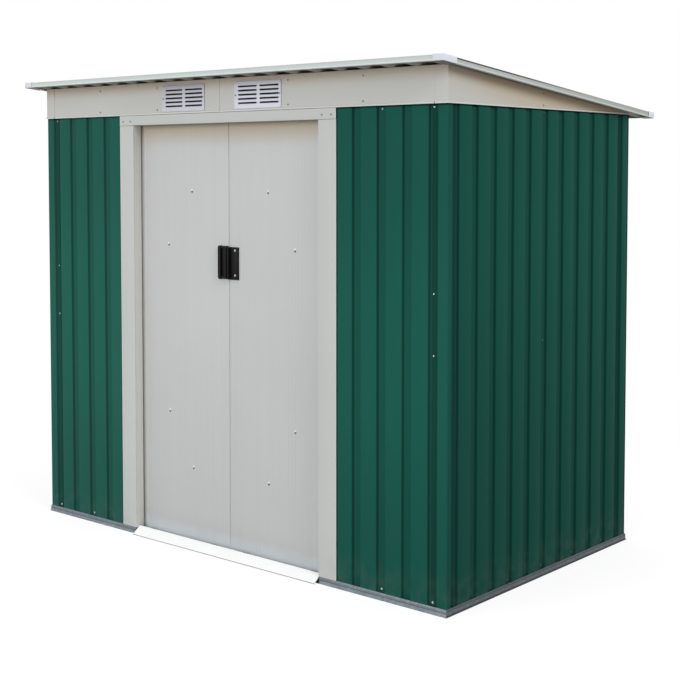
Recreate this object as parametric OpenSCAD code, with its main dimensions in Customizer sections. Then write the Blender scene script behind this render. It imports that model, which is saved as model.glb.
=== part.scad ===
// Metal storage shed with a pent roof and two sliding doors.
// +X runs along the front to the right, +Y goes to the back and +Z up.
// The front faces -Y. The origin lies on the ground under the middle of the roof.

/* [Walls] */
// Width across the outside of the side walls
wall_w = 2000; // [1700:10:2600]
// Depth across the outside of the front and back walls
wall_d = 1149; // [950:1:1600]
// Height of the wall sheets' top edge above the ground
wall_h = 1608; // [1300:1:2000]
// Thickness that every folded sheet is drawn with
sheet_t = 2; // [1:0.5:2.5]
// Distance from one groove to the next
rib_pitch = 104; // [80:1:140]
// Width of a groove at its mouth
groove_w = 39; // [24:1:48]
// Width of each sloping side of a groove
groove_side = 6; // [3:0.5:10]
// Depth of a groove
groove_d = 9; // [5:0.5:14]
// Corner to the middle of the first groove on the front and back
corner_front = 57; // [40:1:80]
// Corner to the middle of the first groove on a side
corner_side = 44.5; // [35:0.5:80]

/* [Doorway] */
// Width of the clear doorway
opening_w = 937; // [760:1:1100]
// Height of the header over the doorway
header_h = 37; // [34:1:80]
// Width of each jamb's face
jamb_w = 78; // [50:1:110]
// Depth of the reveal behind the front
reveal_d = 35; // [24:1:50]
// Gap between the reveal and the doors
door_gap = 8; // [5.5:0.5:14]
// Thickness of a door
door_t = 20; // [12:1:30]
// Gap between the two doors when they are shut
meeting_gap = 5; // [5:0.5:10]
// How far a door reaches behind its jamb when shut
door_lap = 26; // [10:1:60]
// Height of a door's lower edge above the ground
door_foot = 10; // [8:0.5:20]
// How far a door reaches up behind the header
head_lap = 14; // [8:1:20]

/* [Door hardware] */
// Width of a handle's plate
handle_w = 47; // [30:1:60]
// Height of a handle's plate
handle_h = 118; // [80:1:160]
// Height of the middle of the handles above the ground
handle_z = 1066; // [700:1:1250]
// Thickness of a handle's plate
handle_t = 4; // [3:0.5:8]
// How far the grip stands out from the door
grip_out = 16; // [10:1:17]
// Thickness of the grip
grip_t = 6; // [4:0.5:12]
// Length of a hanger or a guide shoe along the door
runner_l = 40; // [24:1:80]
// Running gap between a hanger and the lips that it rides on
run_gap = 0.3; // [0.2:0.05:0.5]
// Width of the upper track's rear lip
track_lip = 19; // [14:1:30]
// Clearance between a guide shoe and the lower track's rear leg
shoe_room = 7; // [5:1:15]

/* [Base] */
// Height of the base rail's outer leg
rail_h = 25; // [16:1:40]
// Height of the base rail's inner leg
rail_back_h = 50; // [30:1:80]
// How far the base rail stands proud of the walls
rail_proud = 3; // [2.5:0.5:8]
// How far the ramp reaches out in front of the walls
ramp_out = 22; // [12:1:60]
// Height of the ramp's upper edge
ramp_h = 31; // [20:1:45]
// Thickness of the ramp, measured upright
ramp_t = 3; // [2:0.5:6]

/* [Roof] */
// Fall of the roof from front to back in degrees
roof_pitch = 5.7; // [3:0.1:9]
// Gap between the back wall's top and the underside of the roof
back_gap = 4.6; // [4:0.1:30]
// Overhang of the roof in front of the walls
front_overhang = 78; // [40:1:140]
// Overhang of the roof behind the walls
back_overhang = 118; // [40:1:160]
// Overhang of the roof past each side
side_overhang = 39; // [30:1:100]
// Height of the edge trim's outer face
trim_h = 18.5; // [16:0.1:40]
// Depth of the edge trim's lips
trim_lip = 10; // [6:1:40]
// How far the edge trim reaches below the roof sheets
trim_drop = 2.2; // [2.2:0.1:12]
// Length of a corner cap along each edge
cap_l = 40; // [22:1:60]
// Height of the roof beams
beam_h = 30; // [20:1:45]
// Width of the roof beams
beam_w = 25; // [15:1:40]

/* [Vents] */
// Width of a vent plate
vent_w = 225; // [160:1:260]
// Height of a vent plate
vent_h = 96; // [70:1:100]
// Thickness of a vent plate
vent_t = 4; // [3:0.5:8]
// Distance of each vent's middle from the middle of the front
vent_x = 189; // [140:1:260]
// Number of slots in each of a vent's two columns
vent_rows = 5; // [3:1:6]
// Height of a slot
slot_h = 7; // [4:0.5:9]
// Distance from one slot to the next below it
slot_pitch = 14.6; // [11:0.1:18]
// Width of a slot
slot_w = 90; // [60:1:100]
// Width of the bar between a vent's two columns
slot_bar = 15; // [8:1:30]
// Share of the fascia's spare height that lies below a vent
vent_low_share = 0.37; // [0:0.01:1]

/* [Frame] */
// Height of the middle of the inner wall rails above the ground
mid_rail_z = 817; // [500:1:1100]
// Height of an inner wall rail
mid_rail_h = 40; // [25:1:60]
// Depth of an inner wall rail
mid_rail_d = 17; // [10:1:20]
// Depth of the top rails' flat leg
top_rail_d = 22; // [14:1:30]
// Height of the top rails' upright leg
top_rail_h = 40; // [25:1:60]
// Width of the gables' return on the front
gable_return = 50; // [30:1:90]
// Gap left where one rail's end meets another rail
rail_gap = 0.3; // [0.1:0.1:0.8]
// Gap left where a sloping face lies against its seat
seat_gap = 0.2; // [0.1:0.05:0.5]

/* [Hidden] */

green = "#20604f";
cream = "#c3c3bd";
zinc = "#8a949b";
white = "#e8e8ee";
black = "#161616";

// How far a cut reaches past what it cuts
cut = 1;

// Walls: the plan is moved forward so that the origin is under the middle of the roof.
half_w = wall_w / 2;
front_y = -(wall_d + back_overhang - front_overhang) / 2;
back_y = front_y + wall_d;
wall_t = groove_d + sheet_t;
sheet_foot = sheet_t;

// Grooves: places of their middles, counted from each corner.
front_half_run = half_w - corner_front;
back_count = round(2 * front_half_run / rib_pitch);
back_pitch = 2 * front_half_run / back_count;
side_count = floor((wall_d - corner_side - groove_w) / rib_pitch);
side_first = front_y + corner_side;
side_last = side_first + side_count * rib_pitch;
side_mid = side_first + floor(side_count / 2) * rib_pitch;
back_seam = -front_half_run + floor(back_count / 2) * back_pitch;

// Doorway and doors, with depths measured inwards from the front walls' outer face.
half_open = opening_w / 2;
jamb_outer = half_open + jamb_w;
jamb_room = 2;
sheet_edge = half_open + sheet_t + jamb_room;
header_z = wall_h - header_h;
door_u = reveal_d + door_gap;
door_back_u = door_u + door_t;
door_inner = meeting_gap / 2;
door_outer = half_open + door_lap;
door_head = header_z + head_lap;
slot_back_u = door_back_u + door_gap;
track_back_u = slot_back_u + track_lip;
ramp_top_u = wall_t + sheet_t;
ramp_lip = 1;
ramp_inset = 2;
track_leg_h = ramp_h - ramp_lip;

// Runners: saddles over the door's upper and lower edges.
saddle_reach = 11;
hanger_h = 24;
shoe_reach = 6;
shoe_h = 13;
shoe_drop = 3;
runner_inset = 60;

// Roof: its own frame has the sheets' underside at height 0 and falls towards +Y.
roof_half_x = half_w + side_overhang;
roof_half_y = (wall_d + front_overhang + back_overhang) / 2 / cos(roof_pitch);
trim_top = trim_h - trim_drop;
cap_t = 2;
cap_mid = (trim_top - trim_drop) / 2;
roof_y = -cap_mid * sin(roof_pitch);
roof_z = wall_h + back_gap + (back_y - roof_y) * tan(roof_pitch);
roof_panel_x = roof_half_x - sheet_t - seat_gap;
roof_count = round(2 * roof_panel_x / rib_pitch);
roof_groove = 2 * roof_panel_x / roof_count;
beam_places = [-roof_half_y / 3, roof_half_y / 3];

// Vents: the height of their middles on the fascia, and the field that the slots take up.
vent_spare = roof_under(front_y) - wall_h - vent_h;
vent_z = wall_h + vent_low_share * vent_spare + vent_h / 2;
slots_w = 2 * slot_w + slot_bar;
slots_h = (vent_rows - 1) * slot_pitch + slot_h;

// Height at which a wall's upper edge meets the roof sheets.
function roof_under(y) = roof_z - seat_gap - (y - roof_y) * tan(roof_pitch);

// Points of one side of a grooved sheet from x0 to x1, with grooves at the middles given.
// shift moves the line off the outer face by the sheet's thickness.
function groove_line(x0, x1, middles, shift) =
    let (k = groove_w / 2, s = groove_side)
    concat(
        [[x0, (is_groove(x0, middles) ? groove_d : 0) + shift]],
        [for (m = middles) each [
            if (m - k > x0) [m - k, shift],
            if (m - k + s > x0) [m - k + s, groove_d + shift],
            if (m + k - s < x1) [m + k - s, groove_d + shift],
            if (m + k < x1) [m + k, shift]
        ]],
        [[x1, (is_groove(x1, middles) ? groove_d : 0) + shift]]
    );

// Whether x lies on the floor of one of the grooves.
function is_groove(x, middles) =
    len([for (m = middles) if (abs(x - m) < groove_w / 2 - groove_side) m]) > 0;

function reversed(list) = [for (i = [len(list) - 1 : -1 : 0]) list[i]];

// Outline of a grooved sheet, seen end on, from x0 to x1. Its outer face is at y = 0.
module grooved_outline(x0, x1, middles) {
    polygon(concat(groove_line(x0, x1, middles, 0), reversed(groove_line(x0, x1, middles, sheet_t))));
}

// Middles of the grooves from a to b, both taken in, at the pitch p.
function groove_run(a, b, p) = [for (i = [0 : round((b - a) / p)]) a + i * p];

module mirror_x() {
    mirror([1, 0, 0]) children();
}

// A plate between two corners.
module plate(low, high) {
    translate(low) cube(high - low);
}

// A bar along X from x0 to x1 whose outline is given as [depth, height] behind the front.
module front_bar(x0, x1, outline) {
    translate([x0, front_y, 0]) rotate([90, 0, 90]) linear_extrude(x1 - x0) polygon(outline);
}

// Outline of a U with legs of two heights, standing on z = 0, around the foot of a sheet.
function rail_outline() = [
    [-rail_proud, 0], [wall_t + sheet_t, 0], [wall_t + sheet_t, rail_back_h],
    [wall_t, rail_back_h], [wall_t, sheet_t], [-rail_proud + sheet_t, sheet_t],
    [-rail_proud + sheet_t, rail_h], [-rail_proud, rail_h]
];

// A long base rail in the front's frame, with its inner leg stopped short of the side walls' sheets.
module long_base_rail() {
    end = half_w + rail_proud;
    inner_end = half_w - sheet_t;
    difference() {
        front_bar(-end, end, rail_outline());
        for (side = [0, 1]) mirror([side, 0, 0])
            plate([inner_end, front_y + wall_t / 2, sheet_t],
                  [end + cut, front_y + ramp_top_u + cut, rail_back_h + cut]);
    }
}

module base_rail_front() {
    cut_top = rail_back_h + cut;
    color(zinc) difference() {
        long_base_rail();
        plate([-half_open, front_y - rail_proud - cut, sheet_t],
              [half_open, front_y + wall_t / 2, cut_top]);
        plate([-sheet_edge, front_y + wall_t / 2, sheet_t],
              [sheet_edge, front_y + ramp_top_u + cut, cut_top]);
    }
}

module base_rail_back() {
    color(zinc) translate([0, front_y + back_y, 0]) mirror([0, 1, 0]) long_base_rail();
}

module base_rail_right() {
    inset = wall_t + sheet_t;
    color(zinc)
        translate([half_w, front_y + inset, 0])
            rotate([90, 0, 180]) linear_extrude(wall_d - 2 * inset) polygon(rail_outline());
}

module base_rail_left() {
    mirror_x() base_rail_right();
}

// A flat stretch of wall on the front, from x0 to x1.
module front_sheet(x0, x1, middles) {
    color(green) translate([0, front_y, sheet_foot])
        linear_extrude(wall_h - sheet_foot) grooved_outline(x0, x1, middles);
}

// A flat stretch of wall on the right side, from y0 to y1.
module side_sheet(y0, y1, middles) {
    color(green) translate([half_w, 0, sheet_foot]) linear_extrude(wall_h - sheet_foot)
        rotate(90) grooved_outline(y0, y1, middles);
}

// A flat stretch of wall on the back, from x0 to x1.
module back_sheet(x0, x1, middles) {
    color(green) translate([0, back_y, sheet_foot]) linear_extrude(wall_h - sheet_foot)
        mirror([0, 1]) grooved_outline(x0, x1, middles);
}

module front_wall_right() {
    middles = groove_run(front_half_run - floor((front_half_run - half_open) / rib_pitch) * rib_pitch,
                         front_half_run, rib_pitch);
    front_sheet(sheet_edge, front_half_run, [for (m = middles) if (m - groove_w / 2 > sheet_edge) m]);
}

module front_wall_left() {
    mirror_x() front_wall_right();
}

module right_wall_front() {
    side_sheet(side_first, side_mid, groove_run(side_first, side_mid, rib_pitch));
}

module right_wall_rear() {
    side_sheet(side_mid, side_last, groove_run(side_mid, side_last, rib_pitch));
}

module left_wall_front() {
    mirror_x() right_wall_front();
}

module left_wall_rear() {
    mirror_x() right_wall_rear();
}

module back_wall_left() {
    back_sheet(-front_half_run, back_seam, groove_run(-front_half_run, back_seam, back_pitch));
}

module back_wall_right() {
    back_sheet(back_seam, front_half_run, groove_run(back_seam, front_half_run, back_pitch));
}

// Plan of a corner sheet: a is its reach along X and b its reach along Y, both to a groove's middle.
module corner_outline(a, b) {
    k = groove_w / 2;
    s = groove_side;
    g = groove_d;
    t = sheet_t;
    polygon([
        [-a, g], [-a + k - s, g], [-a + k, 0], [0, 0], [0, b - k], [-g, b - k + s], [-g, b],
        [-g - t, b], [-g - t, b - k + s], [-t, b - k], [-t, t],
        [-a + k, t], [-a + k - s, g + t], [-a, g + t]
    ]);
}

module corner_sheet_front_right() {
    color(green) translate([half_w, front_y, sheet_foot])
        linear_extrude(wall_h - sheet_foot) corner_outline(corner_front, corner_side);
}

module corner_sheet_front_left() {
    mirror_x() corner_sheet_front_right();
}

module corner_sheet_back_right() {
    color(green) translate([half_w, back_y, sheet_foot]) linear_extrude(wall_h - sheet_foot)
        mirror([0, 1]) corner_outline(corner_front, back_y - side_last);
}

module corner_sheet_back_left() {
    mirror_x() corner_sheet_back_right();
}

// Outline of an inner wall rail: a channel that opens into the shed, as [depth, height].
function mid_rail_outline() =
    let (u0 = wall_t, u1 = wall_t + sheet_t, u2 = wall_t + mid_rail_d,
         z0 = mid_rail_z - mid_rail_h / 2, z1 = mid_rail_z + mid_rail_h / 2)
    [[u0, z0], [u2, z0], [u2, z0 + sheet_t], [u1, z0 + sheet_t],
     [u1, z1 - sheet_t], [u2, z1 - sheet_t], [u2, z1], [u0, z1]];

module side_mid_rail() {
    translate([half_w, front_y + wall_t, 0]) rotate([90, 0, 180])
        linear_extrude(wall_d - 2 * wall_t) polygon(mid_rail_outline());
}

module mid_rails() {
    inset = wall_t + mid_rail_d + rail_gap;
    color(zinc) {
        side_mid_rail();
        mirror_x() side_mid_rail();
        translate([half_w - inset, back_y, 0]) rotate([90, 0, -90])
            linear_extrude(wall_w - 2 * inset) polygon(mid_rail_outline());
    }
}

// Outline of a side wall's top rail: an angle whose flat leg is level with the sheets' top.
function top_rail_outline() =
    let (u0 = wall_t, u1 = wall_t + sheet_t, u2 = wall_t + top_rail_d, z0 = wall_h - top_rail_h)
    [[u0, z0], [u1, z0], [u1, wall_h - sheet_t], [u2, wall_h - sheet_t], [u2, wall_h], [u0, wall_h]];

module side_top_rail() {
    translate([half_w, front_y + track_back_u, 0]) rotate([90, 0, 180])
        linear_extrude(wall_d - track_back_u - wall_t) polygon(top_rail_outline());
}

// The back's top rail reaches up to the roof and carries its lower edge.
module back_top_rail() {
    inset = wall_t + top_rail_d + rail_gap;
    u0 = wall_t;
    u1 = wall_t + sheet_t;
    u2 = wall_t + top_rail_d;
    z0 = wall_h - top_rail_h;
    translate([half_w - inset, back_y, 0]) rotate([90, 0, -90]) linear_extrude(wall_w - 2 * inset)
        polygon([
            [u0, z0], [u1, z0],
            [u1, roof_under(back_y - u1) - sheet_t], [u2, roof_under(back_y - u2) - sheet_t],
            [u2, roof_under(back_y - u2)], [u0, roof_under(back_y - u0)]
        ]);
}

module top_rails() {
    color(zinc) {
        side_top_rail();
        mirror_x() side_top_rail();
        back_top_rail();
    }
}

// The door track hangs behind the header: a channel with a slot below, where the doors pass.
module door_track_top() {
    u0 = wall_t;
    u1 = wall_t + sheet_t;
    u4 = track_back_u - sheet_t;
    u5 = track_back_u;
    z0 = header_z;
    z1 = header_z + sheet_t;
    z2 = wall_h - sheet_t;
    color(zinc) front_bar(-half_w + wall_t, half_w - wall_t, [
        [u0, z0], [reveal_d, z0], [reveal_d, z1], [u1, z1], [u1, z2], [u4, z2], [u4, z1],
        [slot_back_u, z1], [slot_back_u, z0], [u5, z0], [u5, wall_h], [u0, wall_h]
    ]);
}

// The lower track guides the doors' feet. Its front leg carries the ramp's upper edge.
module door_track_bottom() {
    u0 = ramp_top_u;
    u1 = u0 + sheet_t;
    u2 = door_back_u + shoe_reach + shoe_room;
    u3 = u2 + sheet_t;
    end = half_w - wall_t - sheet_t;
    color(zinc) front_bar(-end, end, [
        [u0, 0], [u3, 0], [u3, track_leg_h], [u2, track_leg_h],
        [u2, sheet_t], [u1, sheet_t], [u1, track_leg_h], [u0, track_leg_h]
    ]);
}

// The header covers the wall's edge over the doorway and folds back under it.
module door_header() {
    y = front_y;
    color(cream) {
        plate([-jamb_outer, y - sheet_t, header_z], [jamb_outer, y, wall_h]);
        plate([-half_open, y, header_z], [half_open, y + wall_t, header_z + sheet_t]);
    }
}

// A jamb covers the wall's edge beside the doorway and folds back towards the doors.
module door_jamb_right() {
    t = sheet_t;
    color(cream) {
        plate([half_open, front_y - t, rail_h], [jamb_outer, front_y, header_z]);
        plate([half_open, front_y, max(rail_h, track_leg_h)],
              [half_open + t, front_y + reveal_d, header_z]);
    }
}

module door_jamb_left() {
    mirror_x() door_jamb_right();
}

// The fascia fills the front from the wall sheets up to the roof. A slot behind each vent lets air out.
module front_fascia_right() {
    t = sheet_t;
    edge = half_w - gable_return;
    color(cream) difference() {
        front_bar(0, edge, [
            [-t, wall_h], [reveal_d, wall_h], [reveal_d, wall_h + t], [0, wall_h + t],
            [0, roof_under(front_y)], [-t, roof_under(front_y - t)]
        ]);
        translate([vent_x - slots_w / 2, front_y - t - cut, vent_z - slots_h / 2])
            cube([slots_w, t + 2 * cut, slots_h]);
    }
}

module front_fascia_left() {
    mirror_x() front_fascia_right();
}

// A gable fills the side up to the falling roof, and folds round onto the front.
module gable_right() {
    t = sheet_t;
    y0 = front_y - t;
    color(cream) {
        translate([half_w, 0, 0]) rotate([90, 0, 90]) linear_extrude(t)
            polygon([[y0, wall_h], [back_y, wall_h], [back_y, roof_under(back_y)], [y0, roof_under(y0)]]);
        front_bar(half_w - gable_return, half_w, [
            [-t, wall_h], [0, wall_h], [0, roof_under(front_y)], [-t, roof_under(y0)]
        ]);
        plate([half_w - wall_t, front_y + track_back_u, wall_h], [half_w, back_y, wall_h + t]);
    }
}

module gable_left() {
    mirror_x() gable_right();
}

// A vent is a plate with two columns of slots.
module vent_right() {
    color(white) translate([vent_x, front_y - sheet_t - vent_t, vent_z]) difference() {
        translate([-vent_w / 2, 0, -vent_h / 2]) cube([vent_w, vent_t, vent_h]);
        for (side = [0, 1], row = [0 : vent_rows - 1])
            translate([side * (slot_w + slot_bar) - slots_w / 2, -cut, row * slot_pitch - slots_h / 2])
                cube([slot_w, vent_t + 2 * cut, slot_h]);
    }
}

module vent_left() {
    mirror_x() vent_right();
}

// Places its children in the roof's own frame.
module on_roof() {
    translate([0, roof_y, roof_z]) rotate([-roof_pitch, 0, 0]) children();
}

// A beam is a channel, open to the back, that runs from gable to gable under the roof sheets.
module roof_beams() {
    w = beam_w / 2;
    h = beam_h;
    t = sheet_t;
    color(zinc) on_roof() for (y = beam_places)
        translate([-half_w + seat_gap, y, -seat_gap]) rotate([90, 0, 90])
            linear_extrude(wall_w - 2 * seat_gap)
                polygon([
                    [-w, 0], [-w, -h], [w, -h], [w, t - h],
                    [t - w, t - h], [t - w, -t], [w, -t], [w, 0]
                ]);
}

// A roof sheet from x0 to x1, grooved along the fall. Its underside is at height 0.
module roof_sheet(x0, x1) {
    length = 2 * (roof_half_y - sheet_t - seat_gap);
    middles = [for (i = [0 : roof_count - 1]) -roof_panel_x + (i + 0.5) * roof_groove];
    color(zinc) on_roof() translate([0, length / 2, wall_t]) rotate([90, 0, 0]) linear_extrude(length)
        mirror([0, 1]) grooved_outline(x0, x1, [for (m = middles) if (m > x0 - cut && m < x1 + cut) m]);
}

// Seams of the roof sheets lie in the grooves nearest to the thirds.
roof_seam = (floor(roof_count / 6) + (roof_count % 2 == 0 ? 0.5 : 0)) * roof_groove;

module roof_sheet_left() {
    roof_sheet(-roof_panel_x, -roof_seam);
}

module roof_sheet_centre() {
    roof_sheet(-roof_seam, roof_seam);
}

module roof_sheet_right() {
    roof_sheet(roof_seam, roof_panel_x);
}

// Outline of the edge trim: a channel that grips the sheets' edge, as [reach inwards, height].
function trim_outline() =
    let (t = sheet_t, lip = trim_lip, z0 = -trim_drop, z1 = trim_top)
    [[0, z0], [lip, z0], [lip, z0 + t], [t, z0 + t], [t, z1 - t], [lip, z1 - t], [lip, z1], [0, z1]];

module long_trim() {
    translate([-roof_half_x, -roof_half_y, 0]) rotate([90, 0, 90])
        linear_extrude(2 * roof_half_x) polygon(trim_outline());
}

module side_trim() {
    end = roof_half_y - trim_lip - seat_gap;
    translate([roof_half_x, -end, 0]) rotate([90, 0, 180])
        linear_extrude(2 * end) polygon(trim_outline());
}

module roof_trim_front() {
    color(cream) on_roof() long_trim();
}

module roof_trim_back() {
    color(cream) on_roof() mirror([0, 1, 0]) long_trim();
}

module roof_trim_right() {
    color(cream) on_roof() side_trim();
}

module roof_trim_left() {
    mirror_x() roof_trim_right();
}

// A cap is a thin box over the trim's corner, open towards the roof.
module roof_corner_caps() {
    low = -trim_drop - seat_gap;
    outer = cap_l + seat_gap + cap_t;
    inner = cap_l + seat_gap + cut;
    high = trim_h + 2 * seat_gap;
    color(white) on_roof() for (x = [0, 1], y = [0, 1])
        mirror([x, 0, 0]) mirror([0, y, 0]) translate([roof_half_x - cap_l, roof_half_y - cap_l, low])
            difference() {
                translate([0, 0, -cap_t]) cube([outer, outer, high + 2 * cap_t]);
                translate([-cut, -cut, 0]) cube([inner, inner, high]);
            }
}

// A bent plate that leads up to the doorway, open at its ends.
module threshold_ramp() {
    end = half_open - ramp_inset;
    color(white) front_bar(-end, end, [
        [-ramp_out, 0], [ramp_t - ramp_out, 0],
        [ramp_top_u, ramp_h - ramp_t], [ramp_top_u, ramp_h], [-ramp_out, ramp_t]
    ]);
}

// A door is a shallow tray: a smooth front with edges folded back.
module door_right() {
    t = sheet_t;
    color(cream) difference() {
        plate([door_inner, front_y + door_u, door_foot], [door_outer, front_y + door_back_u, door_head]);
        plate([door_inner + t, front_y + door_u + t, door_foot + t],
              [door_outer - t, front_y + door_back_u + cut, door_head - t]);
    }
}

module door_left() {
    mirror_x() door_right();
}

// A handle is a plate with a grip that stands out beside the meeting of the doors.
module handle_right() {
    y = front_y + door_u;
    z = handle_z - handle_h / 2;
    color(black) {
        translate([door_inner, y - handle_t, z]) cube([handle_w, handle_t, handle_h]);
        translate([door_inner, y - grip_out, z]) cube([grip_t, grip_out - handle_t, handle_h]);
    }
}

module handle_left() {
    mirror_x() handle_right();
}

// Saddles on a door: two hangers that ride on the upper track's lips, and two shoes in the lower track.
module door_runners_right() {
    y0 = front_y + door_u;
    y1 = front_y + door_back_u;
    hang_z = header_z + sheet_t + run_gap;
    places = [door_inner + runner_inset, door_outer - runner_inset - runner_l];
    color(black) for (x = places) {
        difference() {
            plate([x, y0 - door_gap - saddle_reach, hang_z],
                  [x + runner_l, y1 + door_gap + saddle_reach, hang_z + hanger_h]);
            plate([x - cut, y0, hang_z - cut], [x + runner_l + cut, y1, door_head]);
        }
        difference() {
            plate([x, y0 - shoe_reach, door_foot - shoe_drop],
                  [x + runner_l, y1 + shoe_reach, door_foot - shoe_drop + shoe_h]);
            plate([x - cut, y0, door_foot], [x + runner_l + cut, y1, door_foot + shoe_h]);
        }
    }
}

module door_runners_left() {
    mirror_x() door_runners_right();
}

base_rail_front();
base_rail_back();
base_rail_left();
base_rail_right();
corner_sheet_front_left();
corner_sheet_front_right();
corner_sheet_back_left();
corner_sheet_back_right();
front_wall_left();
front_wall_right();
left_wall_front();
left_wall_rear();
right_wall_front();
right_wall_rear();
back_wall_left();
back_wall_right();
mid_rails();
top_rails();
door_track_top();
door_track_bottom();
door_header();
door_jamb_left();
door_jamb_right();
front_fascia_left();
front_fascia_right();
gable_left();
gable_right();
vent_left();
vent_right();
roof_beams();
roof_sheet_left();
roof_sheet_centre();
roof_sheet_right();
roof_trim_front();
roof_trim_back();
roof_trim_left();
roof_trim_right();
roof_corner_caps();
threshold_ramp();
door_left();
door_right();
handle_left();
handle_right();
door_runners_left();
door_runners_right();
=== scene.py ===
"""Sheets, doors, trim, fittings and finishes of a small metal shed, laid out as an add-on.

Each operator models one piece or a group of like pieces around the shed's frame, in metres.
"""

import math

import bmesh
import bpy
from mathutils import Matrix, Vector


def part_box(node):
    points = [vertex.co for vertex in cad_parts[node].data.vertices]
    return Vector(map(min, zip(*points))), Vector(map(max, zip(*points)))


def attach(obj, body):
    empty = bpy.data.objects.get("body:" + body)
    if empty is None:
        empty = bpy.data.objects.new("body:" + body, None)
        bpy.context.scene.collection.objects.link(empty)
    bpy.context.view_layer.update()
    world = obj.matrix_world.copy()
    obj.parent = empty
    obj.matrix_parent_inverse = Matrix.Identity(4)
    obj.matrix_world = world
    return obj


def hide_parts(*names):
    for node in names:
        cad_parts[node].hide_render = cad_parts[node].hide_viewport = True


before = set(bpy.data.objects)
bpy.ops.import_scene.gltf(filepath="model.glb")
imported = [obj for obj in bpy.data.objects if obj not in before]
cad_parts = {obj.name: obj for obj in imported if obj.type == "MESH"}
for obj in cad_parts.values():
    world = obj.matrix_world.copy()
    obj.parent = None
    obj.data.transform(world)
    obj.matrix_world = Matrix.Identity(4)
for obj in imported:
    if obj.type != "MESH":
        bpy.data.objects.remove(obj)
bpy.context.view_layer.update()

bl_info = {
    "name": "Metal Shed",
    "version": (1, 0, 0),
    "blender": (4, 5, 0),
    "location": "3D Viewport > Sidebar > Shed",
    "description": "Sheets, doors, trim, fittings and finishes of a small metal shed",
    "category": "Object",
}


# ---------------------------------------------------------------- places


def low(node):
    """Lowest corner of a node of the frame."""
    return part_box(node)[0]


def high(node):
    """Highest corner of a node of the frame."""
    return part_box(node)[1]


SIDE = high("right_wall_front").x
FRONT = low("front_wall_right").y
BACK = high("back_wall_right").y
WALL_FOOT = low("front_wall_right").z
WALL_TOP = high("front_wall_right").z
FRONT_SEAM = high("front_wall_right").x
SHEET_EDGE = low("front_wall_right").x
SIDE_FIRST = low("right_wall_front").y
SIDE_MIDDLE = high("right_wall_front").y
SIDE_LAST = high("right_wall_rear").y
BACK_MIDDLE = low("back_wall_right").x
DOORWAY = high("threshold_ramp").x + 0.002
JAMB_EDGE = high("door_jamb_right").x
HEADER_Z = low("door_header").z
REVEAL = high("door_jamb_right").y - FRONT
DOOR_FACE = low("door_right").y
RAIL_TOP = low("door_jamb_right").z
FASCIA_EDGE = high("front_fascia_right").x
# Places of a door's screws, as distance from the meeting and height
DOOR_SCREWS = ((0.194, 1.328), (0.194, 0.295), (0.322, 1.128), (0.322, 0.496))
ACROSS, INWARDS, UP = Vector((1, 0, 0)), Vector((0, 1, 0)), Vector((0, 0, 1))
HAIR = 0.0004  # left between faces that would otherwise meet


def colour(red, green, blue):
    """Linear colour of screen values from 0 to 255."""
    def channel(value):
        value /= 255
        return value / 12.92 if value <= 0.04045 else ((value + 0.055) / 1.055) ** 2.4
    return channel(red), channel(green), channel(blue)


# ---------------------------------------------------------------- settings


def length(name, text, default):
    """A length that can be changed in the sidebar."""
    return bpy.props.FloatProperty(name=name, description=text, default=default, min=0.0, unit="LENGTH")


def paint(name, text, default):
    """A colour that can be changed in the sidebar."""
    return bpy.props.FloatVectorProperty(
        name=name, description=text, default=default, min=0.0, max=1.0, size=3, subtype="COLOR")


class ShedSizes(bpy.types.PropertyGroup):
    """Sizes of the sheets and fittings."""

    gauge: length("Sheet gauge", "Thickness of the folded sheets", 0.0012)
    bend: length("Bend radius", "Rounding of the wall sheets' bends", 0.0028)
    fold: length("Fold radius", "Rounding of the trim's and rails' folds", 0.0011)
    rib_pitch: length("Rib pitch", "Distance from one groove to the next", 0.104)
    groove_width: length("Groove width", "Width of a groove at its mouth", 0.039)
    groove_side: length("Groove side", "Width of a groove's sloping side", 0.006)
    groove_depth: length("Groove depth", "Depth of a groove", 0.009)
    lap: length("Lap", "How far a sheet laps over its neighbour", 0.008)
    lip: length("Lip", "How far the folded lower lips stand out", 0.0028)
    screw: length("Screw head", "Radius of a screw's washer", 0.0040)
    line_pitch: length("Line pitch", "Distance between the fine lines in the doors", 0.0313)
    roof_fall: bpy.props.FloatProperty(
        name="Roof fall", description="Angle that the roof falls towards the back",
        default=math.radians(5.7), unit="ROTATION")


class ShedColours(bpy.types.PropertyGroup):
    """Colours of the paints, metals and plastics."""

    green: paint("Green", "Paint of the wall sheets", colour(29, 87, 76))
    roof_green: paint("Roof", "Paint of the roof sheets", colour(28, 78, 68))
    cream: paint("Cream", "Paint of the doorway's frame", colour(198, 200, 198))
    fascia: paint("Fascia", "Paint of the fascia and gables", colour(198, 198, 194))
    door: paint("Doors", "Paint of the doors", colour(200, 201, 201))
    trim: paint("Roof trim", "Paint of the roof's edge trim", colour(200, 208, 205))
    zinc: paint("Zinc", "Galvanised rails and tracks", colour(138, 148, 156))
    ramp: paint("Ramp", "Paint of the threshold ramp", colour(252, 254, 254))
    white_plastic: paint("White plastic", "Vents and corner caps", colour(226, 227, 239))
    black_plastic: paint("Black plastic", "Handles and runners", colour(20, 20, 21))
    floor: paint("Floor", "Floor under the shed", (0.55, 0.55, 0.55))


# ---------------------------------------------------------------- finishes


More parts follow.
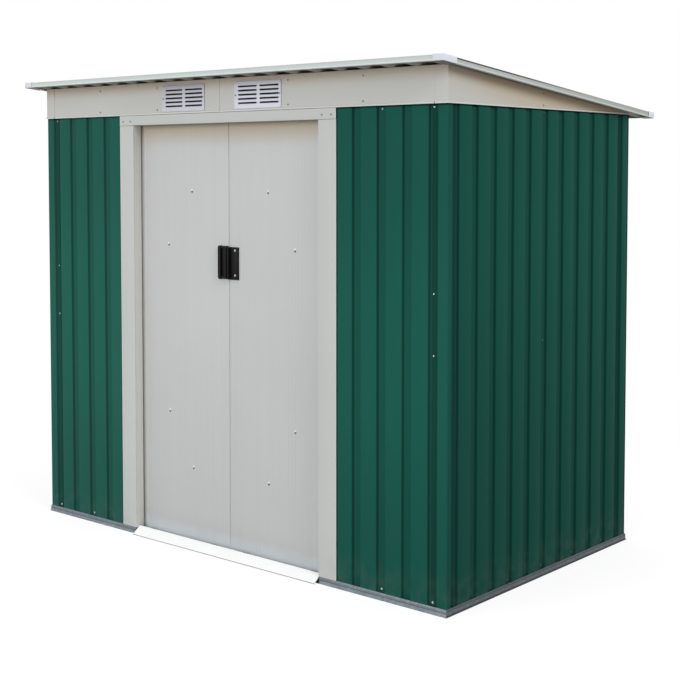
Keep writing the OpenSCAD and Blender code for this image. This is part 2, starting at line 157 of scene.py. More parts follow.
class Value:
    """A node's output that can be used in sums, so that shader maths is written as sums."""

    def __init__(self, nodes, socket):
        self.nodes = nodes
        self.socket = socket

    def maths(self, operation, *terms):
        return self.nodes.node("ShaderNodeMath", {"operation": operation}, dict(enumerate(terms)))

    def __add__(self, other):
        return self.maths("ADD", self, other)

    def __radd__(self, other):
        return self.maths("ADD", other, self)

    def __sub__(self, other):
        return self.maths("SUBTRACT", self, other)

    def __rsub__(self, other):
        return self.maths("SUBTRACT", other, self)

    def __mul__(self, other):
        return self.maths("MULTIPLY", self, other)

    def __rmul__(self, other):
        return self.maths("MULTIPLY", other, self)

    def __pow__(self, other):
        return self.maths("POWER", self, other)

    def sine(self):
        return self.maths("SINE", self)

    def size(self):
        return self.maths("ABSOLUTE", self)

    def least(self, other):
        return self.maths("MINIMUM", self, other)

    def most(self, other):
        return self.maths("MAXIMUM", self, other)


class Nodes:
    """Nodes under construction, of a material or of the surroundings."""

    def __init__(self, owner):
        owner.use_nodes = True
        self.tree = owner.node_tree
        self.tree.nodes.clear()

    def node(self, kind, settings=None, inputs=None, output=0):
        """Adds a node, with its settings first and then its inputs' values or links."""
        node = self.tree.nodes.new(kind)
        for name, value in (settings or {}).items():
            setattr(node, name, value)
        for key, value in (inputs or {}).items():
            if isinstance(value, Value):
                self.tree.links.new(value.socket, node.inputs[key])
            elif node.inputs[key].type == "RGBA":
                node.inputs[key].default_value = (*value[:3], 1.0)
            else:
                node.inputs[key].default_value = value
        return Value(self, node.outputs[output]) if len(node.outputs) else None

    def split(self, kind, value):
        """The parts of a vector or a colour."""
        return [Value(self, part) for part in self.node(kind, inputs={0: value}).socket.node.outputs]

    def seen(self):
        """1 where the camera sees a thing, also in a reflection or through glass."""
        rays = self.node("ShaderNodeLightPath").socket.node.outputs
        camera, glossy, through = (Value(self, rays[name]) for name in (
            "Is Camera Ray", "Is Glossy Ray", "Is Transmission Ray"))
        return camera.most(glossy).most(through)


class Finish(Nodes):
    """A material under construction, whose pattern reads the object's own coordinates."""

    def __init__(self, name):
        self.material = bpy.data.materials.new(name)
        super().__init__(self.material)
        self.place = self.node("ShaderNodeTexCoord", output="Object")
        self.x, self.y, self.z = self.split("ShaderNodeSeparateXYZ", self.place)

    def facing(self, axis):
        """How much the surface faces along an axis, from -1 to 1."""
        normal = self.node("ShaderNodeTexCoord", output="Normal")
        return self.split("ShaderNodeSeparateXYZ", normal)["XYZ".index(axis)]

    def noise(self, scale, detail=3.0, stretch=None):
        """Soft noise from 0 to 1; stretch squeezes the pattern along each axis."""
        place = self.place
        if stretch:
            place = self.node("ShaderNodeMapping", {"vector_type": "POINT"},
                              {"Vector": place, "Scale": stretch})
        return self.node("ShaderNodeTexNoise", inputs={"Vector": place, "Scale": scale, "Detail": detail})

    def between(self, value, start, end, low_value=0.0, high_value=1.0):
        """Goes smoothly from low_value to high_value as value goes from start to end."""
        return self.node("ShaderNodeMapRange", {"interpolation_type": "SMOOTHSTEP"}, {
            "Value": value, "From Min": start, "From Max": end, "To Min": low_value, "To Max": high_value})

    def mix(self, share, first, second, kind="MIX"):
        """Mixes two colours."""
        return self.node("ShaderNodeMix", {"data_type": "RGBA", "blend_type": kind},
                         {0: share, 6: first, 7: second}, output=2)

    def bump(self, height, strength, distance, normal=None):
        """A surface raised by height."""
        inputs = {"Height": height, "Strength": strength, "Distance": distance}
        if normal:
            inputs["Normal"] = normal
        return self.node("ShaderNodeBump", inputs=inputs)

    def surface(self, **inputs):
        """Ends the material with a surface of the inputs given, and returns it."""
        names = {name.replace("_", " ").title().replace("Ior", "IOR"): value
                 for name, value in inputs.items()}
        shader = self.node("ShaderNodeBsdfPrincipled", inputs=names)
        self.node("ShaderNodeOutputMaterial", inputs={"Surface": shader})
        return self.material


def shade(tone, amount):
    """A colour made lighter or darker."""
    return tuple(min(1.0, channel * amount) for channel in tone)


def warm(tone, amount):
    """A colour with less blue in it."""
    return tone[0], tone[1] * (1 - amount), tone[2] * (1 - 2 * amount)


def greyed(tone):
    """A colour brought to grey of the same lightness."""
    return (sum(tone) / 3,) * 3


def coated_sheet(name, tone, gloss=0.42, streaks=0.5, dust_and_shade=0.1, sheen=0.1, marks=()):
    """Coil-coated steel: fine rolling streaks, faint waves in the sheet, and dust near the ground.

    marks are functions that add to the colour and the height what only this sheet has.
    """
    finish = Finish(name)
    streak = finish.noise(1.0, 4.0, (240.0, 240.0, 2.2))
    cloud = finish.noise(2.3, 3.0)
    grime = finish.noise(26.0, 5.0)
    speck = finish.noise(420.0, 2.0)
    dusty = finish.between(finish.z, 0.16, 0.02) * finish.between(grime, 0.35, 0.75) * dust_and_shade
    base = finish.mix(cloud, shade(tone, 0.95), shade(tone, 1.05))
    base = finish.mix(streak * streaks, base, shade(tone, 0.84))
    base = finish.mix(finish.between(speck, 0.66, 0.8) * 0.12, base, shade(tone, 1.25))
    height = speck * 0.25 + streak * 0.5
    for mark in marks:
        base, height = mark(finish, tone, base, height)
    base = finish.mix(dusty, base, colour(134, 128, 116))
    fine = finish.bump(height, 0.35, 0.0004)
    wavy = finish.bump(finish.noise(3.1, 1.0, (1.0, 1.0, 0.45)), 0.25, 0.006, fine)
    rough = gloss + 0.12 * streak + 0.25 * dusty
    return finish.surface(
        base_color=base, roughness=rough, normal=wavy, specular_ior_level=sheen)


def pressed_lines(finish, tone, base, height):
    """Fine upright lines pressed into the doors, deeper in some places than in others, their colour darkened
    as painted shade in the creases.
    """
    pitch = bpy.context.scene.shed_sizes.line_pitch
    wave = (finish.x * (2 * math.pi / pitch)).sine()
    wear_and_shade = finish.noise(1.0, 2.0, (31.0, 31.0, 0.7))
    pressed = finish.between(wave.size(), 0.9, 1.0) * finish.between(wear_and_shade, 0.3, 0.65)
    return finish.mix(pressed * 0.2, base, shade(tone, 0.72)), height - pressed * 2.4


def painted_groove_shade(finish, tone, base, height):
    """Painted shade on the sides and floors of the walls' grooves, in a line under the fascia and in a line
    beside the jambs.
    """
    depth = bpy.context.scene.shed_sizes.groove_depth
    inside = (SIDE - finish.x.size()).least(finish.y - FRONT).least(BACK - finish.y)
    flank = (finish.between(inside, 0.08 * depth, 0.3 * depth)
             * finish.between(inside, 0.98 * depth, 0.8 * depth))
    floor = finish.between(inside, 0.3 * depth, depth)
    # painted shade on the grooves' flanks and floors
    base = finish.mix(flank * 0.6, base, shade(tone, 0.25))
    base = finish.mix(floor * 0.19, base, shade(tone, 0.4))
    at_front = finish.between(finish.y, FRONT + 0.02, FRONT + 0.012)
    beside_jamb = finish.between(finish.x.size(), JAMB_EDGE + 0.007, JAMB_EDGE + 0.003) * at_front
    under_fascia = finish.between(finish.z, WALL_TOP - 0.007, WALL_TOP - 0.003)
    # painted shade beside the jambs and under the fascia
    base = finish.mix(beside_jamb * 0.6, base, shade(tone, 0.3))
    return finish.mix(under_fascia * 0.85, base, shade(tone, 0.15)), height


def shaded_side(finish, tone, base, height):
    """Painted shade on the side walls, deeper near the ground, and a painted dark line along their rear edge.
    """
    side = (finish.between(SIDE - finish.x.size(), 0.024, 0.012)
            * finish.between(finish.y, FRONT, FRONT + 0.01))
    near_ground = finish.between(finish.z, 1.3, 0.1, 0.16, 0.42)
    # painted shade, deeper towards the ground
    base = finish.mix(side * near_ground, base, shade(tone, 0.3))
    at_face = finish.between(SIDE - finish.x.size(), 0.003, 0.001)
    rear_edge = at_face * finish.between(finish.y, BACK - 0.013, BACK - 0.009)
    return finish.mix(rear_edge * 0.9, base, shade(tone, 0.12)), height


def painted_light_on_front(finish, tone, base, height):
    """Painted light on the front: a painted highlight at half height and a painted white reflection at the
    left end.
    """
    front = finish.between(finish.y, FRONT + 0.02, FRONT + 0.012)
    waist = finish.between((finish.z - 0.80).size(), 0.65, 0.1)
    left = finish.between(finish.x, 0.0, -0.5)
    # painted highlight at half height
    base = finish.mix(waist * front, base, (1.16, 1.16, 1.14), "MULTIPLY")
    # painted white reflection at the left end
    return finish.mix(left * front * 0.012, base, (0.5, 1.0, 0.85), "ADD"), height


def painted_light_on_fascia(finish, tone, base, height):
    """Painted warm shade under the roof's overhang, darkest on the gables, and a painted highlight on the
    folded foot of the fascia and gables.
    """
    fall = math.tan(bpy.context.scene.shed_sizes.roof_fall)
    gap = roof_under(0.0) - finish.y * fall - finish.z
    at_side = finish.between(finish.x.size(), SIDE, SIDE + 0.0015)
    # painted warm shade under the overhang
    base = finish.mix(finish.between(gap, 0.055, 0.005) * 0.9, base, warm(tone, 0.13))
    near_roof = finish.between(gap, 0.05, 0.012) * (0.15 + 0.3 * at_side)
    base = finish.mix(near_roof, base, shade(warm(tone, 0.15), 0.3))
    gable_shade = finish.between(gap, 0.12, 0.03) * at_side * finish.between(finish.y, FRONT, -0.2, 0.3, 1.0)
    base = finish.mix(gable_shade, base, (0.95, 0.84, 0.70), "MULTIPLY")
    # painted highlight on the folded foot
    foot = finish.between(finish.z, WALL_TOP + 0.006, WALL_TOP + 0.004)
    return finish.mix(foot * 0.5, base, shade(tone, 1.35)), height


def painted_light_on_doors(finish, tone, base, height):
    """Painted warm shade at the top of a door under the header, and painted light on its foot and its outer
    edge, where they lie in shade.
    """
    foot_z = low("door_right").z
    dust_and_shade = finish.between(finish.z, HEADER_Z - 0.095, HEADER_Z - 0.005)
    foot = finish.between(finish.z, foot_z + 0.075, foot_z + 0.01)
    edge = finish.between(finish.x.size(), DOORWAY - 0.026, DOORWAY - 0.006)
    # painted warm shade under the header, then painted light on the foot and the outer edge
    base = finish.mix(dust_and_shade, base, (0.92, 0.80, 0.62), "MULTIPLY")
    base = finish.mix(foot, base, (1.32, 1.40, 1.46), "MULTIPLY")
    return finish.mix(edge, base, (1.46, 1.45, 1.42), "MULTIPLY"), height


def painted_screw_shadows(finish, tone, base, height):
    """Painted shadow below the doors' screws."""
    for x, z in DOOR_SCREWS:
        across, down = finish.x.size() - x, finish.z - (z - 0.0062)
        away = (across * across + down * down) ** 0.5
        # painted shadow under each screw
        base = finish.mix(finish.between(away, 0.0056, 0.0034) * 0.95, base, shade(tone, 0.14))
    return base, height


def painted_light_on_jambs(finish, tone, base, height):
    """A painted highlight on the jambs' outer edges, and painted light on their returns into the doorway,
    where they lie in shade.
    """
    edge = finish.between(finish.x.size(), JAMB_EDGE - 0.004, JAMB_EDGE - 0.0025)
    reveal = (finish.between(finish.y, FRONT + 0.001, FRONT + 0.003)
              * finish.between(finish.z, 0.6, 1.5, 0.8, 1.5))
    # painted light on the returns, then a painted highlight on the outer edges
    base = finish.mix(reveal, base, (1.17, 1.14, 1.07), "MULTIPLY")
    return finish.mix(edge * 0.5, base, shade(tone, 1.3)), height


def painted_light_on_trim(finish, tone, base, height):
    """Painted shade along the bead at the top of the side trims, heaviest at the front, painted shade on the
    side trims, deeper towards the back, and a painted highlight on the rolled foot.
    """
    fall = bpy.context.scene.shed_sizes.roof_fall
    up = (finish.z - roof_under(0.0)) * math.cos(fall) + finish.y * math.sin(fall)
    outside = high("roof_trim_right").x
    side = finish.between(finish.x.size(), outside - 0.003, outside - 0.002)
    line = finish.between(up, 0.0112, 0.0124) * side * finish.between(finish.y, 0.3, -0.35)
    foot = finish.between(up, 0.0035, 0.0015)
    # painted shade on the side trims, deeper towards the back
    base = finish.mix(side * 0.5, base, shade(warm(greyed(tone), 0.02), 0.86))
    wear_and_shade = side * finish.between(finish.y, FRONT, BACK, 0.55, 1.0)
    base = finish.mix(wear_and_shade, base, (0.80, 0.79, 0.75), "MULTIPLY")
    # painted shade along the top bead, then a painted highlight on the rolled foot
    base = finish.mix(line * 0.95, base, shade(tone, 0.12))
    return finish.mix(foot * 0.5, base, shade(tone, 1.25)), height


def bare_underside(finish, tone, base, height):
    """The grey back coat on the underside of the roof sheets."""
    under = finish.between(finish.facing("Z"), -0.02, -0.08)
    return finish.mix(under, base, colour(150, 149, 140)), height


def ramp_edge(finish, tone, base, height):
    """The ramp's folded lower edge, with painted shade along the ground."""
    return finish.mix(finish.between(finish.z, 0.0048, 0.0034), base, colour(150, 148, 150)), height


def galvanised(name, tone, line=None, toe=0.0):
    """Zinc-coated steel with its pattern of crystals, and white bloom in places.

    line is the height of a line pressed along the rails, darkened with painted shade, with painted shade on
    the rail above it; toe is how much painted shade lies on the rails' foot.
    """
    finish = Finish(name)
    warp = finish.noise(30.0, 2.0)
    spangle = finish.node("ShaderNodeTexVoronoi", inputs={"Vector": finish.place, "Scale": 95.0},
                          output="Color")
    crystal, other, _ = finish.split("ShaderNodeSeparateColor", spangle)
    bloom = finish.between(finish.noise(9.0, 6.0), 0.5, 0.8) * 0.45
    drawn = finish.noise(1.0, 3.0, (9.0, 9.0, 320.0))
    base = finish.mix(crystal, shade(tone, 0.8), shade(tone, 1.18))
    base = finish.mix(bloom * warp, base, shade(tone, 1.6))
    base = finish.mix(drawn * 0.35, base, shade(tone, 0.72))
    height = crystal * 0.3 + drawn * 0.6
    if line:
        # painted shade in the pressed line and on the rail above it
        pressed = finish.between((finish.z - line).size(), 0.0024, 0.0008)
        base = finish.mix(pressed * 0.8, base, shade(tone, 0.3))
        base = finish.mix(finish.between(finish.z, line + 0.002, line + 0.003) * 0.35, base, shade(tone, 0.5))
        height = height - pressed * 3.0
        # painted shade on the rails' foot
        base = finish.mix(finish.between(finish.z, 0.0085, 0.006) * toe, base, shade(tone, 0.25))
    return finish.surface(
        base_color=base, metallic=0.35, roughness=0.36 + 0.2 * other + 0.2 * bloom,
        normal=finish.bump(height, 0.3, 0.0003), specular_ior_level=0.2)


def painted_shade_on_vents(finish, tone, base, height):
    """Painted shade on the vents, darkest under the roof's edge and on the left vent."""
    lower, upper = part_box("vent_right")
    share = (finish.between(finish.z, lower.z, upper.z, 0.08, 0.28)
             + finish.between(finish.x, 0.1, -0.1) * 0.17)
    # painted shade, darker towards the top and on the left vent
    base = finish.mix(share, base, colour(120, 116, 118))
    at_top = finish.between(finish.z, upper.z - 0.022, upper.z) * 0.3
    return finish.mix(at_top, base, colour(104, 96, 92)), height


def painted_shade_on_caps(finish, tone, base, height):
    """Painted shade under the corner caps, and painted shade greying their faces to the front."""
    # painted shade greying the front faces, then painted shade under the caps
    base = finish.mix(finish.between(finish.facing("Y"), -0.5, -0.9) * 0.5, base, colour(196, 204, 202))
    return finish.mix(finish.between(finish.facing("Z"), -0.4, -0.8) * 0.85, base, colour(52, 55, 50)), height


def moulded(name, tone, gloss, scuff=0.3, sheen=0.3, marks=()):
    """Moulded plastic with a fine grained skin and light scuffs."""
    finish = Finish(name)
    skin = finish.noise(900.0, 2.0)
    patch = finish.noise(14.0, 4.0)
    scratch = finish.noise(1.0, 5.0, (60.0, 60.0, 900.0))
    base = finish.mix(patch, shade(tone, 0.93), shade(tone, 1.06))
    base = finish.mix(finish.between(scratch, 0.62, 0.8) * scuff, base, shade(tone, 1.5))
    height = skin + 0.4 * scratch
    for mark in marks:
        base, height = mark(finish, tone, base, height)
    return finish.surface(
        base_color=base, roughness=gloss + 0.14 * patch + 0.1 * scratch,
        normal=finish.bump(height, 0.25, 0.0003), specular_ior_level=sheen)


def plated(name, tone):
    """Bright zinc plating of the screws, with turned marks and grime in the recesses."""
    finish = Finish(name)
    turned = finish.noise(1300.0, 3.0)
    grime = finish.noise(150.0, 3.0)
    base = finish.mix(turned, shade(tone, 0.85), shade(tone, 1.12))
    base = finish.mix(finish.between(grime, 0.55, 0.8) * 0.5, base, shade(tone, 0.45))
    return finish.surface(
        base_color=base, metallic=0.75, roughness=0.25 + 0.25 * grime,
        normal=finish.bump(turned, 0.2, 0.0002))


FINISHES = {}


def finish_named(name):
    """The material of that name, made the first time that it is asked for."""
    if name not in FINISHES:
        tones = bpy.context.scene.shed_colours
        makers = {
            "green_sheet": lambda: coated_sheet(
                name, tones.green, 0.4, 0.55, sheen=0.015,
                marks=(painted_groove_shade, shaded_side, painted_light_on_front)),
            "roof_sheet": lambda: coated_sheet(
                name, tones.roof_green, 0.45, 0.5, dust_and_shade=0.0, sheen=0.04, marks=(bare_underside,)),
            "cream_sheet": lambda: coated_sheet(name, tones.cream, 0.5, 0.14, marks=(painted_light_on_jambs,)),
            "fascia_sheet": lambda: coated_sheet(name, tones.fascia, 0.5, 0.14, marks=(painted_light_on_fascia,)),
            "door_sheet": lambda: coated_sheet(
                name, tones.door, 0.5, 0.16, dust_and_shade=0.04, marks=(pressed_lines, painted_light_on_doors, painted_screw_shadows)),
            "roof_trim": lambda: coated_sheet(name, tones.trim, 0.45, 0.14, dust_and_shade=0.0, marks=(painted_light_on_trim,)),
            "ramp": lambda: coated_sheet(name, tones.ramp, 0.45, 0.05, dust_and_shade=0.04, marks=(ramp_edge,)),
            "galvanised": lambda: galvanised(name, tones.zinc),
            "rail": lambda: galvanised(name, shade(tones.zinc, 0.85), 0.0135),
            # a darker copy of the zinc: painted shade for the side rails
            "shaded_rail": lambda: galvanised(name, shade(tones.zinc, 0.45), 0.0195, 0.8),
            "white_plastic": lambda: moulded(
                name, tones.white_plastic, 0.4, scuff=0.05, marks=(painted_shade_on_caps,)),
            "vent_plastic": lambda: moulded(name, tones.white_plastic, 0.4, scuff=0.05, marks=(painted_shade_on_vents,)),
            "black_plastic": lambda: moulded(name, tones.black_plastic, 0.32, sheen=0.12),
            "plated": lambda: plated(name, colour(190, 194, 196)),
            "bright_screw": lambda: moulded(name, colour(244, 244, 242), 0.3, scuff=0.1),
            # a darker copy of the plating: painted shade for the screws in the side walls
            "shaded_plated": lambda: plated(name, colour(92, 110, 108)),
            "painted_screw": lambda: moulded(name, shade(tones.cream, 0.45), 0.4, scuff=0.1),
        }
        FINISHES[name] = makers[name]()
    return FINISHES[name]


# ---------------------------------------------------------------- modelling by hand


def put_down_tools():
    """Back to object mode with nothing selected."""
    if bpy.context.object and bpy.context.object.mode != "OBJECT":
        bpy.ops.object.mode_set(mode="OBJECT")
    bpy.ops.object.select_all(action="DESELECT")


def hold(piece):
    """Makes a piece the only one selected."""
    put_down_tools()
    piece.select_set(True)
    bpy.context.view_layer.objects.active = piece


def named(piece, name):
    """Names a piece and its mesh."""
    piece.name = piece.data.name = name
    return piece


def take_up(piece):
    """Puts a piece in edit mode with nothing selected on it, and returns its mesh."""
    hold(piece)
    bpy.ops.object.mode_set(mode="EDIT")
    bpy.ops.mesh.select_mode(type="VERT")
    bpy.ops.mesh.select_all(action="DESELECT")
    return bmesh.from_edit_mesh(piece.data)


def pick(test, kind="VERT"):
    """Selects only the vertices, edges or faces of the edited mesh that pass the test."""
    piece = bpy.context.object
    bpy.ops.mesh.select_mode(type=kind)
    bpy.ops.mesh.select_all(action="DESELECT")
    mesh = bmesh.from_edit_mesh(piece.data)
    parts = {"VERT": mesh.verts, "EDGE": mesh.edges, "FACE": mesh.faces}[kind]
    chosen = [part for part in parts if test(part)]
    if not chosen:
        raise RuntimeError(f"nothing to pick on {piece.name}")
    for part in chosen:
        part.select_set(True)
    mesh.select_flush_mode()
    bmesh.update_edit_mesh(piece.data)


def middle(part):
    """Middle of an edge or a face."""
    return sum((v.co for v in part.verts), Vector()) / len(part.verts)


def span(edge):
    """What an edge reaches from end to end."""
    return edge.verts[1].co - edge.verts[0].co


def draw_out(*steps):
    """Extrudes the selected edges, step by step."""
    for step in steps:
        bpy.ops.mesh.extrude_edges_move(TRANSFORM_OT_translate={"value": step})


def cut(place, direction, drop=False):
    """Cuts the edited mesh by a plane, and drops what lies past it where asked."""
    bpy.ops.mesh.select_mode(type="VERT")
    bpy.ops.mesh.select_all(action="SELECT")
    bpy.ops.mesh.bisect(plane_co=place, plane_no=direction, clear_outer=drop)


def cut_across(direction, *places):
    """Cuts the edited mesh square to a direction, at each of the places along it."""
    for place in places:
        cut(direction * place, direction)


def cut_out(test):
    """Deletes the faces of the edited mesh that pass the test."""
    pick(test, "FACE")
    bpy.ops.mesh.delete(type="FACE")


def round_off(radius, segments=2, kind="EDGES"):
    """Bevels what is selected."""
    bpy.ops.mesh.bevel(offset=radius, segments=segments, affect=kind, clamp_overlap=True)


def round_folds(radius, segments=2):
    """Rounds every fold of the edited sheet."""
    pick(lambda edge: not edge.is_boundary, "EDGE")
    round_off(radius, segments)


def face_outwards(outside):
    """Turns the edited sheet's faces to the outside."""
    piece = bpy.context.object
    bpy.ops.mesh.select_mode(type="FACE")
    bpy.ops.mesh.select_all(action="SELECT")
    bpy.ops.mesh.normals_make_consistent(inside=False)
    mesh = bmesh.from_edit_mesh(piece.data)
    mesh.normal_update()
    if sum(face.normal.dot(outside) * face.calc_area() for face in mesh.faces) < 0:
        bpy.ops.mesh.flip_normals()


def thicken(piece, gauge):
    """Gives a folded sheet its thickness, behind its outer face."""
    hold(piece)
    solid = piece.modifiers.new("gauge", "SOLIDIFY")
    solid.thickness = gauge
    solid.offset = -1.0
    solid.use_even_offset = True
    bpy.ops.object.modifier_apply(modifier=solid.name)


def edge_strip(name, points, run):
    """A sheet that goes from point to point, with the run across it: one edge extruded again and again."""
    put_down_tools()
    bpy.ops.mesh.primitive_plane_add(size=1.0)
    piece = named(bpy.context.object, name)
    mesh = take_up(piece)
    mesh.verts.ensure_lookup_table()
    for vertex in mesh.verts[2:]:
        vertex.select_set(True)
    bpy.ops.mesh.delete(type="VERT")
    mesh = bmesh.from_edit_mesh(piece.data)
    mesh.verts.ensure_lookup_table()
    mesh.verts[0].co = points[0]
    mesh.verts[1].co = points[0] + run
    bpy.ops.mesh.select_all(action="SELECT")
    draw_out(*(there - here for here, there in zip(points, points[1:])))
    return piece


def folded_sheet(name, points, run, outside, bend, gauge, cuts=()):
    """A sheet with rounded bends that follows the points, cut to its outline and given its thickness."""
    piece = edge_strip(name, points, run)
    round_folds(bend)
    for place, direction in cuts:
        cut(place, direction, drop=True)
    face_outwards(outside)
    thicken(piece, gauge)
    return piece


def along_x(points, start, end):
    """Points given as (depth behind the front, height), for a fold that runs along X, and its run."""
    return [Vector((start, FRONT + u, z)) for u, z in points], Vector((end - start, 0, 0))


def block(name, lower, upper):
    """A block between two corners, to be worked on."""
    lower, upper = Vector(lower), Vector(upper)
    put_down_tools()
    bpy.ops.mesh.primitive_cube_add(size=1.0, location=(lower + upper) / 2, scale=upper - lower)
    bpy.ops.object.transform_apply(location=True, rotation=False, scale=True)
    return named(bpy.context.object, name)


def join(first, *others):
    """Joins pieces into the first."""
    hold(first)
    for piece in others:
        piece.select_set(True)
    if others:
        bpy.ops.object.join()
    return first


def copies(pattern, places, name):
    """Copies of a piece at the places given, each with its own mesh, joined into one piece."""
    made = []
    for place in places:
        copy = pattern.copy()
        copy.data = pattern.data.copy()
        copy.data.transform(place)
        bpy.context.scene.collection.objects.link(copy)
        made.append(copy)
    return named(join(*made), name)


def throw_away(*patterns):
    """Removes patterns that have been copied."""
    for pattern in patterns:
        mesh = pattern.data
        bpy.data.objects.remove(pattern)
        bpy.data.meshes.remove(mesh)


def mirrored(right):
    """A copy of a piece of the right side, turned to the left side."""
    left = copies(right, [Matrix.Scale(-1.0, 4, ACROSS)], right.name.replace("right", "left"))
    take_up(left)
    bpy.ops.mesh.select_all(action="SELECT")
    bpy.ops.mesh.flip_normals()
    put_down_tools()
    return left


def finish_piece(piece, body, finish, node=None, angle=38.0):
    """Smooths a finished piece, gives it its material and its body, and hides the node that it stands for."""
    hold(piece)
    bpy.ops.object.shade_smooth_by_angle(angle=math.radians(angle))
    piece.data.materials.clear()
    piece.data.materials.append(finish_named(finish))
    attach(piece, body)
    if node:
        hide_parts(node)
    put_down_tools()


def finish_pair(right, finish, node, angle=38.0):
    """Mirrors a piece of the right side, and finishes it and its copy."""
    left = mirrored(right)
    finish_piece(right, "shed", finish, node, angle)
    finish_piece(left, "shed", finish, node.replace("right", "left"), angle)


# ---------------------------------------------------------------- shapes


def grooves(start, end):
    """Middles of the grooves from start to end, about a rib's pitch apart."""
    count = round((end - start) / bpy.context.scene.shed_sizes.rib_pitch)
    return [start + i * (end - start) / count for i in range(count + 1)]


def grooved_line(start, end, middles):
    """Points of a grooved sheet as (place along it, depth)."""
    sizes = bpy.context.scene.shed_sizes
    half, side, depth = sizes.groove_width / 2, sizes.groove_side, sizes.groove_depth

    def depth_at(place):
        return depth if any(abs(place - m) < half - side for m in middles) else 0.0

    points = [(start, depth_at(start))]
    for m in middles:
        groove = ((m - half, 0.0), (m - half + side, depth), (m + half - side, depth), (m + half, 0.0))
        for place, deep in groove:
            if start < place < end:
                points.append((place, deep))
    return points + [(end, depth_at(end))]


def wall_sheet(name, line, place, outside):
    """A grooved wall sheet, standing in its rail."""
    sizes = bpy.context.scene.shed_sizes
    points = [place(s, d) for s, d in line]
    return folded_sheet(name, points, UP * (WALL_TOP - WALL_FOOT), outside, sizes.bend, sizes.gauge)


def on_front(s, d):
    return Vector((s, FRONT + d, WALL_FOOT))


def on_back(s, d):
    return Vector((s, BACK - d, WALL_FOOT))


def on_right(s, d):
    return Vector((SIDE - d, s, WALL_FOOT))


def lap_depth():
    """Depth of a groove's floor where a corner sheet laps over it."""
    sizes = bpy.context.scene.shed_sizes
    return sizes.groove_depth - sizes.gauge - 0.0003


def corner_line(seam, toward):
    """Points of a corner sheet in plan, from its lap on the front or back to its lap on the side."""
    sizes = bpy.context.scene.shed_sizes
    half, flat, over = sizes.groove_width / 2, sizes.groove_width / 2 - sizes.groove_side, lap_depth()
    face = FRONT if toward > 0 else BACK
    return [
        (FRONT_SEAM - sizes.lap, face + toward * over), (FRONT_SEAM + flat, face + toward * over),
        (FRONT_SEAM + half, face), (SIDE, face), (SIDE, seam - toward * half),
        (SIDE - over, seam - toward * flat), (SIDE - over, seam + toward * sizes.lap),
    ]


def roof_length():
    """Length of the roof sheets along the fall."""
    sizes = bpy.context.scene.shed_sizes
    lower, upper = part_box("roof_sheet_centre")
    thick = sizes.groove_depth + 0.002
    return (upper.y - lower.y - thick * math.sin(sizes.roof_fall)) / math.cos(sizes.roof_fall)


def roof_matrix():
    """Place and turn of the roof's own frame, whose sheets lie on height 0."""
    fall = bpy.context.scene.shed_sizes.roof_fall
    lower = low("roof_sheet_centre")
    half = roof_length() / 2
    origin = Vector((0, lower.y + half * math.cos(fall), lower.z + half * math.sin(fall)))
    return Matrix.Translation(origin) @ Matrix.Rotation(-fall, 4, "X")


def roof_under(y):
    """Height of the roof sheets' underside above a place on the ground."""
    origin = roof_matrix().translation
    return origin.z - (y - origin.y) * math.tan(bpy.context.scene.shed_sizes.roof_fall)


def trim_to_roof():
    """Cuts off what reaches up to the roof."""
    place = roof_matrix()
    upwards = place.to_3x3() @ UP
    cut(place.translation - upwards * HAIR, upwards, drop=True)


# ---------------------------------------------------------------- operators


class SHED_OT_walls(bpy.types.Operator):
    """Grooved wall sheets of the front, the sides and the back"""
    bl_idname = "shed.walls"
    bl_label = "Wall Sheets"

    def execute(self, context):
        sizes = context.scene.shed_sizes
        middles = [m for m in grooves(FRONT_SEAM - 4 * sizes.rib_pitch, FRONT_SEAM)
                   if m - sizes.groove_width / 2 > SHEET_EDGE]
        line = grooved_line(SHEET_EDGE, FRONT_SEAM, middles)
        sheet = wall_sheet("front_wall_right_sheet", line, on_front, -INWARDS)
        finish_pair(sheet, "green_sheet", "front_wall_right")
        for part, start, end in (("front", SIDE_FIRST, SIDE_MIDDLE), ("rear", SIDE_MIDDLE, SIDE_LAST)):
            line = grooved_line(start, end, grooves(start, end))
            sheet = wall_sheet(f"right_wall_{part}_sheet", line, on_right, ACROSS)
            finish_pair(sheet, "green_sheet", f"right_wall_{part}")
        for part, start, end in (("left", -FRONT_SEAM, BACK_MIDDLE), ("right", BACK_MIDDLE, FRONT_SEAM)):
            line = grooved_line(start, end, grooves(start, end))
            sheet = wall_sheet(f"back_wall_{part}_sheet", line, on_back, INWARDS)
            finish_piece(sheet, "shed", "green_sheet", f"back_wall_{part}")
        return {"FINISHED"}


class SHED_OT_corners(bpy.types.Operator):
    """Corner sheets, folded round the four corners and lapped over the wall sheets"""
    bl_idname = "shed.corners"
    bl_label = "Corner Sheets"

    def execute(self, context):
        sizes = context.scene.shed_sizes
        for part, seam, toward in (("front", SIDE_FIRST, 1), ("back", SIDE_LAST, -1)):
            points = [Vector((x, y, WALL_FOOT)) for x, y in corner_line(seam, toward)]
            sheet = folded_sheet(f"{part}_right_corner", points, UP * (WALL_TOP - WALL_FOOT),
                                 Vector((1, -toward, 0)), sizes.bend, sizes.gauge)
            finish_pair(sheet, "green_sheet", f"corner_sheet_{part}_right")
        return {"FINISHED"}


